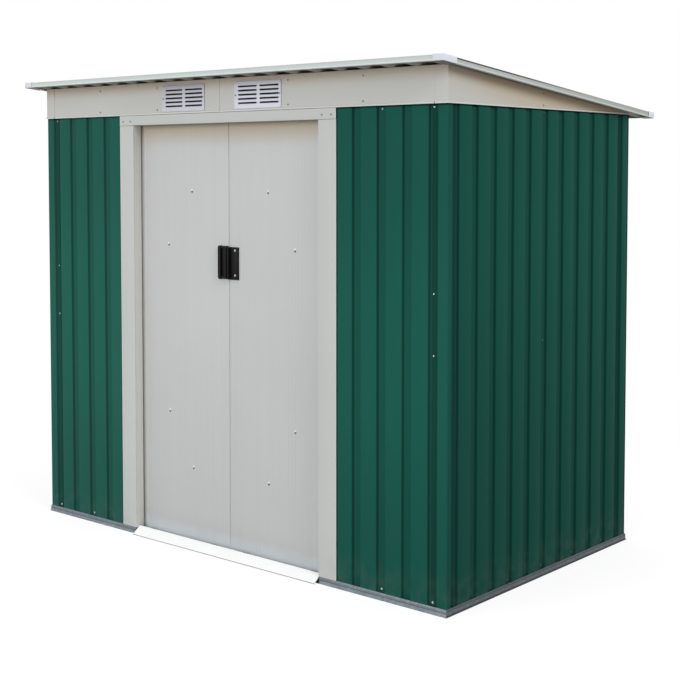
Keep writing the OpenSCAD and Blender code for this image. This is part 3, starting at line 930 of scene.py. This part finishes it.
class SHED_OT_base_rails(bpy.types.Operator):
    """Galvanised rails that the wall sheets stand in, mitred at the corners"""
    bl_idname = "shed.base_rails"
    bl_label = "Base Rails"

    gauge: length("Rail gauge", "Thickness of the rails", 0.001)
    toe: length("Toe", "How far the rails' foot stands out", 0.0025)

    def rail(self, name, points, run, outside, corners):
        """A rail that ends at the corners given in plan."""
        turn = 1 if run.x else -1
        cuts = []
        for x, y in corners:
            past = turn * Vector((math.copysign(1, x), -math.copysign(1, y), 0))
            cuts.append((Vector((x, y, 0)) - past * 0.00015, past))
        fold = bpy.context.scene.shed_sizes.fold / 2
        return folded_sheet(name, points, run, outside, fold, self.gauge, cuts)

    def execute(self, context):
        lower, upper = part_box("base_rail_front")
        inner, proud = upper.y - FRONT - 0.0006, FRONT - lower.y
        toe = proud + self.toe
        section = [
            (inner, upper.z - 0.002), (inner, 0.0007), (-toe, 0.0007), (-toe, 0.0029), (-proud, 0.0047),
            (-proud, RAIL_TOP - 0.0045), (-0.0006, RAIL_TOP),
        ]
        points, run = along_x(section, -SIDE - toe, SIDE + toe)
        front = self.rail("front_rail", points, run, Vector((0, -0.3, -1)), ((-SIDE, FRONT), (SIDE, FRONT)))
        take_up(front)
        cut_across(ACROSS, -DOORWAY, DOORWAY, -SHEET_EDGE, SHEET_EDGE)
        cut_out(lambda face: abs(middle(face).x) < DOORWAY and middle(face).y < FRONT + 0.002
                and (middle(face).z > 0.002 or middle(face).y < FRONT - proud))
        cut_out(lambda face: abs(middle(face).x) < SHEET_EDGE and middle(face).z > 0.0025)
        finish_piece(front, "shed", "rail", "base_rail_front")

        flip = Matrix.Translation((0, FRONT + BACK, 0)) @ Matrix.Scale(-1.0, 4, INWARDS)
        back = self.rail("back_rail", [flip @ p for p in points], run, Vector((0, 0.3, -1)),
                         ((-SIDE, BACK), (SIDE, BACK)))
        finish_piece(back, "shed", "rail", "base_rail_back")

        points = [Vector((SIDE - u, FRONT - toe, z)) for u, z in section]
        right = self.rail("right_rail", points, INWARDS * (BACK - FRONT + 2 * toe), Vector((0.3, 0, -1)),
                          ((SIDE, FRONT), (SIDE, BACK)))
        finish_pair(right, "shaded_rail", "base_rail_right")
        return {"FINISHED"}


class SHED_OT_doorway(bpy.types.Operator):
    """Jambs and header round the doorway, and the ramp at its foot"""
    bl_idname = "shed.doorway"
    bl_label = "Doorway"

    proud: length("Proud", "How far the doorway's frame stands in front of the sheets", 0.0028)
    joint: length("Joint", "Gap between the jambs and the header", 0.0012)

    def execute(self, context):
        sizes = context.scene.shed_sizes
        section = [(JAMB_EDGE, -HAIR), (JAMB_EDGE, -self.proud), (DOORWAY, -self.proud), (DOORWAY, REVEAL),
                   (DOORWAY + 0.009, REVEAL)]
        points = [Vector((x, FRONT + u, RAIL_TOP)) for x, u in section]
        rise = UP * (HEADER_Z - RAIL_TOP - self.joint)
        jamb = folded_sheet("right_jamb", points, rise, Vector((-1, -1, 0)), sizes.fold, sizes.gauge)
        finish_pair(jamb, "cream_sheet", "door_jamb_right")

        top, under = WALL_TOP - 0.0006, high("door_header").y - FRONT - HAIR
        section = [(-HAIR, top), (-self.proud, top), (-self.proud, HEADER_Z), (under, HEADER_Z),
                   (under, HEADER_Z + 0.006)]
        points, run = along_x(section, -JAMB_EDGE, JAMB_EDGE)
        header = edge_strip("header", points, run)
        cut_across(ACROSS, -DOORWAY, DOORWAY)
        cut_out(lambda face: abs(middle(face).x) > DOORWAY and middle(face).y > FRONT)
        pick(lambda edge: len(edge.link_faces) == 2 and abs(span(edge).x) > 0.01
             and abs(middle(edge).x) < DOORWAY, "EDGE")
        round_off(sizes.fold)
        face_outwards(-INWARDS - UP)
        thicken(header, sizes.gauge)
        finish_piece(header, "shed", "cream_sheet", "door_header")

        lower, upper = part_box("threshold_ramp")
        front, back = lower.y - FRONT, upper.y - FRONT
        section = [(front + 0.004, 0.0016), (front, 0.0016), (front, 0.0036),
                   (back - 0.006, upper.z - 0.0036), (back, upper.z)]
        points, run = along_x(section, lower.x, upper.x)
        ramp = folded_sheet("ramp_sheet", points, run, UP - INWARDS, 0.0006, 0.0012)
        finish_piece(ramp, "shed", "ramp", "threshold_ramp")
        return {"FINISHED"}


class SHED_OT_fascia(bpy.types.Operator):
    """Fascia over the doors, cut out behind the vents, and the gables at the sides"""
    bl_idname = "shed.fascia"
    bl_label = "Fascia and Gables"

    proud: length("Proud", "How far the faces stand in front of the sheets", 0.002)
    lip_height: length("Lip height", "Height of the folded lower lips", 0.0045)
    slope: length("Slope", "Height of the slope from the lips to the faces", 0.003)
    vent_edge: length("Vent edge", "How far the vents lap over the fascia's openings", 0.015)

    def execute(self, context):
        sizes = context.scene.shed_sizes
        foot = WALL_TOP + HAIR
        face_foot = foot + self.lip_height + self.slope
        top = roof_under(FRONT) + 0.02
        lip = -self.proud - sizes.lip
        section = [(0.02, foot), (lip, foot), (lip, foot + self.lip_height), (-self.proud, face_foot),
                   (-self.proud, top)]
        points, run = along_x(section, 0.0006, FASCIA_EDGE)
        fascia = edge_strip("right_fascia", points, run)
        round_folds(sizes.fold)
        lower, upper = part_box("vent_right")
        edge, rise = self.vent_edge, self.vent_edge + 0.0003
        cut_across(ACROSS, lower.x + edge, upper.x - edge)
        cut_across(UP, lower.z + rise, upper.z - rise)
        cut_out(lambda face: lower.x + edge < middle(face).x < upper.x - edge
                and lower.z + rise < middle(face).z < upper.z - rise)
        trim_to_roof()
        face_outwards(-INWARDS)
        thicken(fascia, sizes.gauge)
        finish_pair(fascia, "fascia_sheet", "front_fascia_right")

        side, face = SIDE + self.proud, FRONT - self.proud - 0.0006
        plan = ((FASCIA_EDGE + 0.0006, face), (side, face), (side, BACK))
        points = [Vector((x, y, face_foot)) for x, y in plan]
        gable = edge_strip("right_gable", points, UP * (top - face_foot))
        round_folds(0.0035, 3)
        trim_to_roof()
        face_outwards(Vector((1, -0.1, 0)))
        pick(lambda edge: edge.is_boundary
             and all(abs(v.co.z - face_foot) < 1e-5 for v in edge.verts), "EDGE")
        draw_out(UP * -self.slope)
        bpy.ops.transform.resize(value=((side + sizes.lip) / side, 1.0, 1.0), center_override=(0, 0, 0))
        bpy.ops.transform.translate(value=INWARDS * -sizes.lip)
        draw_out(UP * -self.lip_height)
        thicken(gable, sizes.gauge)
        finish_pair(gable, "fascia_sheet", "gable_right")
        return {"FINISHED"}


class SHED_OT_vents(bpy.types.Operator):
    """White louvred vents in the fascia"""
    bl_idname = "shed.vents"
    bl_label = "Vents"

    rows: bpy.props.IntProperty(name="Rows", description="Slots in each column", default=5, min=1)
    slot: length("Slot height", "Height of a slot", 0.0076)
    pitch: length("Slot pitch", "Distance from one slot to the next", 0.0146)
    column: length("Slot width", "Width of a slot", 0.09)
    bar: length("Middle bar", "Width of the bar between the columns", 0.015)
    corner: length("Corner", "Rounding of the plate's corners", 0.007)
    aside: length("Aside", "How far the slots lie to the right of the plate's middle", 0.005)

    def execute(self, context):
        lower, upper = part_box("vent_right")
        centre = (lower + upper) / 2
        put_down_tools()
        bpy.ops.mesh.primitive_plane_add(size=1.0, location=(centre.x, lower.y, centre.z),
                                         rotation=(math.pi / 2, 0, 0))
        vent = named(bpy.context.object, "right_vent")
        bpy.ops.transform.resize(value=(upper.x - lower.x, 1.0, upper.z - lower.z))
        bpy.ops.object.transform_apply(location=True, rotation=True, scale=True)
        take_up(vent)
        bpy.ops.mesh.select_all(action="SELECT")
        round_off(self.corner, 4, "VERTICES")
        pick(lambda edge: edge.is_boundary, "EDGE")
        draw_out(INWARDS * (upper.y - lower.y))

        def at_face(part):
            return abs(middle(part).y - lower.y) < 1e-5

        pick(lambda edge: not edge.is_boundary and at_face(edge), "EDGE")
        round_off(0.0016, 3)
        bar = centre.x + self.aside
        inner, outer = self.bar / 2, self.bar / 2 + self.column
        bottoms = [centre.z + (row - (self.rows - 1) / 2) * self.pitch - self.slot / 2
                   for row in range(self.rows)]
        tops = [z + self.slot for z in bottoms]
        cut_across(ACROSS, bar - outer, bar - inner, bar + inner, bar + outer)
        cut_across(UP, *bottoms, *tops)
        cut_out(lambda face: at_face(face) and inner < abs(middle(face).x - bar) < outer
                and any(z < middle(face).z < z + self.slot for z in bottoms))

        def pick_slots(heights):
            pick(lambda edge: edge.is_boundary and at_face(edge) and abs(span(edge).z) < 1e-5
                 and any(abs(middle(edge).z - z) < 1e-5 for z in heights), "EDGE")

        pick_slots(bottoms)
        draw_out(Vector((0, -0.0009, 0.0007)), Vector((0, 0.0024, 0.0013)))
        pick_slots(tops)
        draw_out(Vector((0, 0.0030, 0.0022)))
        face_outwards(-INWARDS)
        thicken(vent, 0.0008)
        left = copies(vent, [Matrix.Translation((-2 * centre.x, 0, 0))], "left_vent")
        finish_piece(vent, "shed", "vent_plastic", "vent_right")
        finish_piece(left, "shed", "vent_plastic", "vent_left")
        return {"FINISHED"}


class SHED_OT_roof(bpy.types.Operator):
    """Grooved roof sheets"""
    bl_idname = "shed.roof"
    bl_label = "Roof Sheets"

    def execute(self, context):
        sizes = context.scene.shed_sizes
        place = roof_matrix()
        half = roof_length() / 2
        edge = high("roof_sheet_right").x
        count = round(2 * edge / sizes.rib_pitch)
        middles = [-edge + (i + 0.5) * 2 * edge / count for i in range(count)]
        crest = sizes.groove_depth + 0.0018
        for part in ("left", "centre", "right"):
            lower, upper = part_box(f"roof_sheet_{part}")
            line = grooved_line(lower.x, upper.x, middles)
            points = [place @ Vector((s, -half, crest - d)) for s, d in line]
            run = place.to_3x3() @ INWARDS * 2 * half
            sheet = folded_sheet(f"roof_{part}", points, run, UP, sizes.bend, sizes.gauge)
            finish_piece(sheet, "shed", "roof_sheet", f"roof_sheet_{part}")
        return {"FINISHED"}


class SHED_OT_roof_trim(bpy.types.Operator):
    """Folded trim round the roof's edge, with moulded caps at its corners"""
    bl_idname = "shed.roof_trim"
    bl_label = "Roof Trim"

    drop: length("Drop", "How far the trim reaches below the roof sheets", 0.0022)
    depth: length("Lip depth", "Depth of the trim's lips", 0.010)
    height: length("Height", "Height of the trim's face", 0.0185)
    fold: length("Fold radius", "Rounding of the trim's narrow folds", 0.0004)
    gauge: length("Trim gauge", "Thickness of the trim", 0.0006)
    cap: length("Cap length", "Length of a corner cap along the front", 0.040)
    cap_side: length("Cap side length", "Length of a front corner cap along the side", 0.066)
    cap_thick: length("Cap thickness", "Thickness of a corner cap", 0.0018)
    cap_gap: length("Cap gap", "Gap between a corner cap and the trim", 0.0003)

    def section(self):
        """Outline of the trim as (reach inwards, height): two lips, a rolled foot and a bead at the top."""
        foot, top, face = -self.drop, self.height - self.drop, 0.0012
        return [
            (self.depth, foot), (0.0, foot), (0.0, foot + 0.0035), (face, foot + 0.0050),
            (face, top - 0.0036), (0.0, top - 0.0022), (0.0, top), (self.depth, top),
        ]

    def corner_cap(self, deep):
        """A cap with its corner at the origin, reaching to the left and to the back."""
        thick = self.cap_thick + self.cap_gap
        foot = self.height / 2 - self.drop - (self.height + 2 * thick) / 2
        cap = block("cap_pattern", (-self.cap - thick, 0, foot),
                    (0, deep + thick, foot + self.height + 2 * thick))
        take_up(cap)
        cut_out(lambda face: face.normal.x < -0.9 or face.normal.y > 0.9)
        round_folds(0.0024, 3)
        face_outwards(ACROSS - INWARDS)
        thicken(cap, self.cap_thick)
        return cap

    def execute(self, context):
        place = roof_matrix()
        turn = place.to_3x3()
        half_x, half_y = high("roof_trim_right").x, roof_length() / 2 + 0.0022
        for part, side in (("front", -1), ("back", 1)):
            points = [place @ Vector((-half_x, side * (half_y - r), z)) for r, z in self.section()]
            trim = folded_sheet(f"{part}_trim", points, turn @ ACROSS * 2 * half_x, turn @ INWARDS * side,
                                self.fold, self.gauge)
            finish_piece(trim, "shed", "roof_trim", f"roof_trim_{part}", angle=25.0)
        run = 2 * (half_y - self.depth)
        points = [place @ Vector((half_x - r, -run / 2, z)) for r, z in self.section()]
        trim = folded_sheet("right_trim", points, turn @ INWARDS * run, ACROSS, self.fold, self.gauge)
        finish_pair(trim, "roof_trim", "roof_trim_right", angle=25.0)

        outer_x, outer_y = (half + self.cap_gap + self.cap_thick for half in (half_x, half_y))
        pairs = []
        for toward, leg in ((-1, self.cap_side), (1, self.cap)):
            cap = self.corner_cap(leg)
            places = [place @ Matrix.Translation((side * outer_x, toward * outer_y, 0))
                      @ Matrix.Diagonal((side, -toward, 1.0, 1.0)) for side in (-1, 1)]
            pairs.append(copies(cap, places, "corner_caps"))
            throw_away(cap)
        caps = named(join(*pairs), "corner_caps")
        take_up(caps)
        bpy.ops.mesh.select_all(action="SELECT")
        bpy.ops.mesh.normals_make_consistent(inside=False)
        finish_piece(caps, "shed", "white_plastic", "roof_corner_caps")
        return {"FINISHED"}


class SHED_OT_doors(bpy.types.Operator):
    """Door leaves, folded back round their edges, with a lip behind their meeting on the left one"""
    bl_idname = "shed.doors"
    bl_label = "Doors"

    edge_fold: length("Edge fold", "Rounding of the doors' edges", 0.0026)
    flange: length("Flange", "Width of the edges that are folded back", 0.011)
    lip_behind: length("Lip depth", "How far the lip lies behind the doors' faces", 0.0030)
    lip_past: length("Lip reach", "How far the lip reaches past the middle", 0.0015)

    def execute(self, context):
        gauge = context.scene.shed_sizes.gauge
        lower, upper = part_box("door_right")
        right = block("right_door_leaf", lower, upper)
        take_up(right)
        cut_out(lambda face: face.normal.y > 0.9)
        pick(lambda edge: edge.is_boundary, "EDGE")
        bpy.ops.mesh.extrude_edges_move()
        within = [1 - 2 * self.flange / (upper[k] - lower[k]) for k in (0, 2)]
        bpy.ops.transform.resize(value=(within[0], 1.0, within[1]),
                                 center_override=tuple((lower + upper) / 2))
        pick(lambda edge: not edge.is_boundary
             and (abs(middle(edge).y - lower.y) < 1e-5 or abs(span(edge).y) > 0.01), "EDGE")
        round_off(self.edge_fold, 3)
        face_outwards(-INWARDS)
        thicken(right, gauge)
        left = mirrored(right)
        behind = lower.y + self.lip_behind
        lip = block("meeting_lip", (-lower.x - 0.001, behind, lower.z + 0.003),
                    (self.lip_past, behind + gauge, upper.z - 0.003))
        join(left, lip)
        finish_piece(right, "right_door", "door_sheet", "door_right")
        finish_piece(left, "left_door", "door_sheet", "door_left")
        return {"FINISHED"}


class SHED_OT_handles(bpy.types.Operator):
    """Moulded handles beside the meeting of the doors"""
    bl_idname = "shed.handles"
    bl_label = "Handles"

    plate: length("Plate", "Thickness of the handles' plates", 0.004)

    def part(self, name, lower, upper, radius, segments=3, corner=0.0):
        """A block with rounded edges; corner is the rounding of the corners on its left."""
        part = block(name, lower, upper)
        take_up(part)
        if corner:
            pick(lambda edge: abs(span(edge).y) > 1e-4 and middle(edge).x < lower[0] + 1e-4, "EDGE")
            round_off(corner, 5)
        bpy.ops.mesh.select_all(action="SELECT")
        round_off(radius, segments)
        return part

    def execute(self, context):
        lower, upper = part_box("handle_right")
        face, plate_y, grip_y = DOOR_FACE, DOOR_FACE - self.plate, lower.y
        right = join(
            self.part("right_handle_part", (lower.x, plate_y, lower.z), (upper.x, face, upper.z), 0.0009),
            self.part("right_grip", (lower.x, grip_y, lower.z + 0.001),
                      (lower.x + 0.006, plate_y + 0.001, upper.z - 0.001), 0.0022),
            self.part("right_rib", (upper.x - 0.006, plate_y - 0.0016, lower.z + 0.004),
                      (upper.x - 0.003, plate_y + 0.001, upper.z - 0.004), 0.0007))
        finish_piece(right, "right_door", "black_plastic", "handle_right")

        start, end, foot, top = -upper.x, -lower.x, lower.z, upper.z + 0.004
        bars = [self.part(name, (start + 0.006, face - 0.0085, z),
                          (end - 0.004, face - 0.003, z + 0.009), 0.003)
                for name, z in (("left_brow", top - 0.011), ("left_sill", foot + 0.002))]
        left = join(
            self.part("left_handle_part", (start + 0.005, plate_y, foot + 0.001),
                      (end, face, top - 0.001), 0.0012),
            self.part("left_grip", (end - 0.006, grip_y, foot + 0.002),
                      (end, plate_y + 0.001, top - 0.004), 0.0024),
            self.part("left_ridge", (start, face - 0.0115, foot),
                      (start + 0.0135, face, top), 0.0035, 4, 0.0085),
            *bars)
        finish_piece(left, "left_door", "black_plastic", "handle_left")
        return {"FINISHED"}


class SHED_OT_screws(bpy.types.Operator):
    """Screws with washers, in the sheets, the frame, the vents and the doors"""
    bl_idname = "shed.screws"
    bl_label = "Screws"

    def pattern(self, name, radius):
        """A washer and a domed head with a recess, standing on the origin and facing -Y."""
        put_down_tools()
        bpy.ops.mesh.primitive_cylinder_add(vertices=14, radius=radius, depth=0.0009,
                                            location=(0, 0, 0.00045), end_fill_type="NGON")
        screw = named(bpy.context.object, name)
        bpy.ops.object.transform_apply(location=True, rotation=False, scale=False)
        take_up(screw)
        pick(lambda face: face.normal.z > 0.9, "FACE")
        bpy.ops.mesh.inset(thickness=radius * 0.22, depth=0.0002)
        bpy.ops.mesh.extrude_region_move(TRANSFORM_OT_translate={"value": (0, 0, 0.0013)})
        for share, depth in ((0.2, 0.0006), (0.26, 0.0001), (0.04, -0.0009)):
            bpy.ops.mesh.inset(thickness=radius * share, depth=depth)
        put_down_tools()
        screw.data.transform(Matrix.Rotation(math.pi / 2, 4, "X"))
        return screw

    def place(self, turn, x, y, z):
        """Place of a screw, turned about Z: 0 faces the front and 90 the right."""
        return Matrix.Translation((x, y, z)) @ Matrix.Rotation(math.radians(turn), 4, "Z")

    def group(self, pattern, places, name, finish, body="shed", slot="galvanised"):
        """Screws of one kind, as one piece."""
        finish_piece(copies(pattern, places, name), body, finish)

    def execute(self, context):
        sizes = context.scene.shed_sizes
        plain = self.pattern("screw_pattern", sizes.screw)
        small = self.pattern("small_screw_pattern", sizes.screw * 0.72)
        top, waist, foot = WALL_TOP - 0.010, 0.820, WALL_FOOT + 0.033
        inner = FRONT_SEAM - 2 * sizes.rib_pitch
        floor, lapped = FRONT + sizes.groove_depth, FRONT + lap_depth()
        walls, front, sides, frame_face = [], [self.place(0, inner, floor, top)], [], []
        seams = grooves(-FRONT_SEAM, FRONT_SEAM)
        for x in seams[::3]:
            deep = lap_depth() if x in (seams[0], seams[-1]) else sizes.groove_depth
            walls += [self.place(180, x, BACK - deep, z) for z in (top, waist, foot)]
        seams = grooves(SIDE_FIRST, SIDE_LAST)
        side_spots = [(y, foot) for y in seams[3:10:2]] + [(y, top) for y in seams[1:6:4]]
        side_spots.append((SIDE_MIDDLE, waist))
        vent, vent_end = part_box("vent_right")
        frame_spots = [(x, FRONT - 0.0021, z) for x in (0.332, 0.663) for z in (1.707, 1.625)]
        frame_spots += [(x, FRONT - 0.0029, HEADER_Z + 0.015) for x in (0.485, 0.526)]
        frame_spots += [(x, vent.y, (vent.z + vent_end.z) / 2) for x in (vent.x + 0.007, vent_end.x - 0.007)]
        for side in (-1, 1):
            walls += [self.place(0, side * x, y, foot) for x, y in ((inner, floor), (FRONT_SEAM, lapped))]
            front += [self.place(0, side * FRONT_SEAM, lapped, z) for z in (top, 1.015, waist)]
            sides += [self.place(90 * side, side * (SIDE - sizes.groove_depth), y, z) for y, z in side_spots]
            frame_face += [self.place(0, side * x, y, z) for x, y, z in frame_spots]
            frame_face += [self.place(90 * side, side * (SIDE + 0.0021), FRONT + 0.545, z)
                           for z in (1.662, 1.621)]
        self.group(plain, walls, "wall_screws", "plated")
        self.group(small, front, "front_screws", "plated")
        self.group(small, sides, "side_screws", "shaded_plated")
        self.group(small, frame_face, "frame_screws", "painted_screw", slot="cream_sheet")
        for name, side in (("left", -1), ("right", 1)):
            spots = [self.place(0, side * x, DOOR_FACE, z) for x, z in DOOR_SCREWS]
            self.group(plain, spots, f"{name}_door_screws", "bright_screw", f"{name}_door")
        spots = [self.place(0, 0.033, DOOR_FACE - 0.004, z) for z in (1.113, 1.023)]
        self.group(plain, spots, "handle_screws", "plated", "right_door")
        throw_away(plain, small)
        return {"FINISHED"}


class SHED_OT_steelwork(bpy.types.Operator):
    """Finishes of the rails, tracks, beams and runners that keep the frame's own shape"""
    bl_idname = "shed.steelwork"
    bl_label = "Steelwork"

    def execute(self, context):
        for finish, nodes in (
                ("galvanised", ("mid_rails", "top_rails", "roof_beams",
                                "door_track_top", "door_track_bottom")),
                ("black_plastic", ("door_runners_left", "door_runners_right"))):
            for name in nodes:
                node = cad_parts[name]
                if not node.material_slots:
                    node.data.materials.append(None)
                for slot in node.material_slots:
                    slot.material = finish_named(finish)
        return {"FINISHED"}


class SHED_OT_stage(bpy.types.Operator):
    """Floor, lamps, surroundings and camera"""
    bl_idname = "shed.stage"
    bl_label = "Stage"

    surroundings: bpy.props.FloatProperty(name="Surroundings",
                                          description="Strength of the even light", default=0.74)
    front_lamp: bpy.props.FloatProperty(name="Front lamp", description="Power of the lamp at the front left",
                                        default=345.0, unit="POWER")
    side_lamp: bpy.props.FloatProperty(name="Side lamp", description="Power of the lamp at the right",
                                       default=420.0, unit="POWER")

    def lamp(self, name, place, aim, size, power):
        put_down_tools()
        bpy.ops.object.light_add(type="AREA", location=place)
        lamp = bpy.context.object
        lamp.name = name
        lamp.rotation_euler = (Vector(aim) - Vector(place)).to_track_quat("-Z", "Y").to_euler()
        lamp.data.shape = "DISK"
        lamp.data.size = size
        lamp.data.energy = power

    def execute(self, context):
        scene = context.scene
        put_down_tools()
        bpy.ops.mesh.primitive_plane_add(size=90.0, location=(0, 0, 0))
        floor = bpy.context.object
        floor.name = "floor"
        ground = Finish("floor")
        cloud = ground.noise(0.8, 3.0)
        tone = scene.shed_colours.floor
        base = ground.mix(cloud, shade(tone, 0.97), tone)
        away = (ground.x * ground.x + ground.y * ground.y) ** 0.5
        matt = ground.node("ShaderNodeBsdfDiffuse", inputs={"Color": base})
        pale = ground.node("ShaderNodeBsdfDiffuse", inputs={"Color": (0.3, 0.3, 0.3)})
        glow = ground.node("ShaderNodeEmission", inputs={"Color": (1.0, 1.0, 1.0), "Strength": 0.78})
        white = ground.node("ShaderNodeEmission", inputs={"Color": (1.0, 1.0, 1.0), "Strength": 1.0})
        near = ground.node("ShaderNodeAddShader", inputs={0: pale, 1: glow})
        far = ground.between(away, 1.3, 2.6)
        shown = ground.node("ShaderNodeMixShader", inputs={0: far, 1: near, 2: white})
        either = ground.node("ShaderNodeMixShader", inputs={0: ground.seen(), 1: matt, 2: shown})
        ground.node("ShaderNodeOutputMaterial", inputs={"Surface": either})
        floor.data.materials.append(ground.material)

        world = bpy.data.worlds.new("surroundings")
        scene.world = world
        sky = Nodes(world)
        even = sky.node("ShaderNodeBackground",
                        inputs={"Color": (1.0, 1.0, 1.0), "Strength": self.surroundings})
        plain = sky.node("ShaderNodeBackground", inputs={"Color": (1.0, 1.0, 1.0), "Strength": 1.0})
        either = sky.node("ShaderNodeMixShader", inputs={0: sky.seen(), 1: even, 2: plain})
        sky.node("ShaderNodeOutputWorld", inputs={"Surface": either})

        self.lamp("front_lamp", (-3.4, -10.2, 3.6), (0, 0, 0.8), 5.0, self.front_lamp)
        self.lamp("side_lamp", (10.4, -2.6, 7.5), (0, 0, 0.8), 5.0, self.side_lamp)

        bpy.ops.object.camera_add(location=(3.380, FRONT - 3.2895, 1.405),
                                  rotation=(math.radians(87.0), 0, math.radians(40.58)))
        camera = bpy.context.object
        camera.name = "camera"
        camera.data.lens = 69.5
        camera.data.sensor_width = 36.0
        camera.data.shift_y = -0.150
        camera.data.clip_end = 200.0
        scene.camera = camera
        scene.view_settings.view_transform = "Standard"
        put_down_tools()
        return {"FINISHED"}


class SHED_PT_panel(bpy.types.Panel):
    """Lists the shed's pieces, sizes and colours"""
    bl_idname = "SHED_PT_panel"
    bl_label = "Metal Shed"
    bl_space_type = "VIEW_3D"
    bl_region_type = "UI"
    bl_category = "Shed"

    def draw(self, context):
        for group in (context.scene.shed_sizes, context.scene.shed_colours):
            box = self.layout.box()
            for name in group.__annotations__:
                box.prop(group, name)
        for operator in PIECES:
            self.layout.operator(operator.bl_idname)


PIECES = (
    SHED_OT_stage, SHED_OT_walls, SHED_OT_corners, SHED_OT_base_rails, SHED_OT_doorway, SHED_OT_fascia,
    SHED_OT_vents, SHED_OT_roof, SHED_OT_roof_trim, SHED_OT_doors, SHED_OT_handles, SHED_OT_screws,
    SHED_OT_steelwork,
)
CLASSES = (ShedSizes, ShedColours, *PIECES, SHED_PT_panel)


def register():
    for cls in CLASSES:
        bpy.utils.register_class(cls)
    bpy.types.Scene.shed_sizes = bpy.props.PointerProperty(type=ShedSizes)
    bpy.types.Scene.shed_colours = bpy.props.PointerProperty(type=ShedColours)


def unregister():
    del bpy.types.Scene.shed_colours
    del bpy.types.Scene.shed_sizes
    for cls in reversed(CLASSES):
        bpy.utils.unregister_class(cls)


def main():
    register()
    for operator in PIECES:
        group, name = operator.bl_idname.split(".")
        getattr(getattr(bpy.ops, group), name)()


if __name__ == "__main__":
    main()
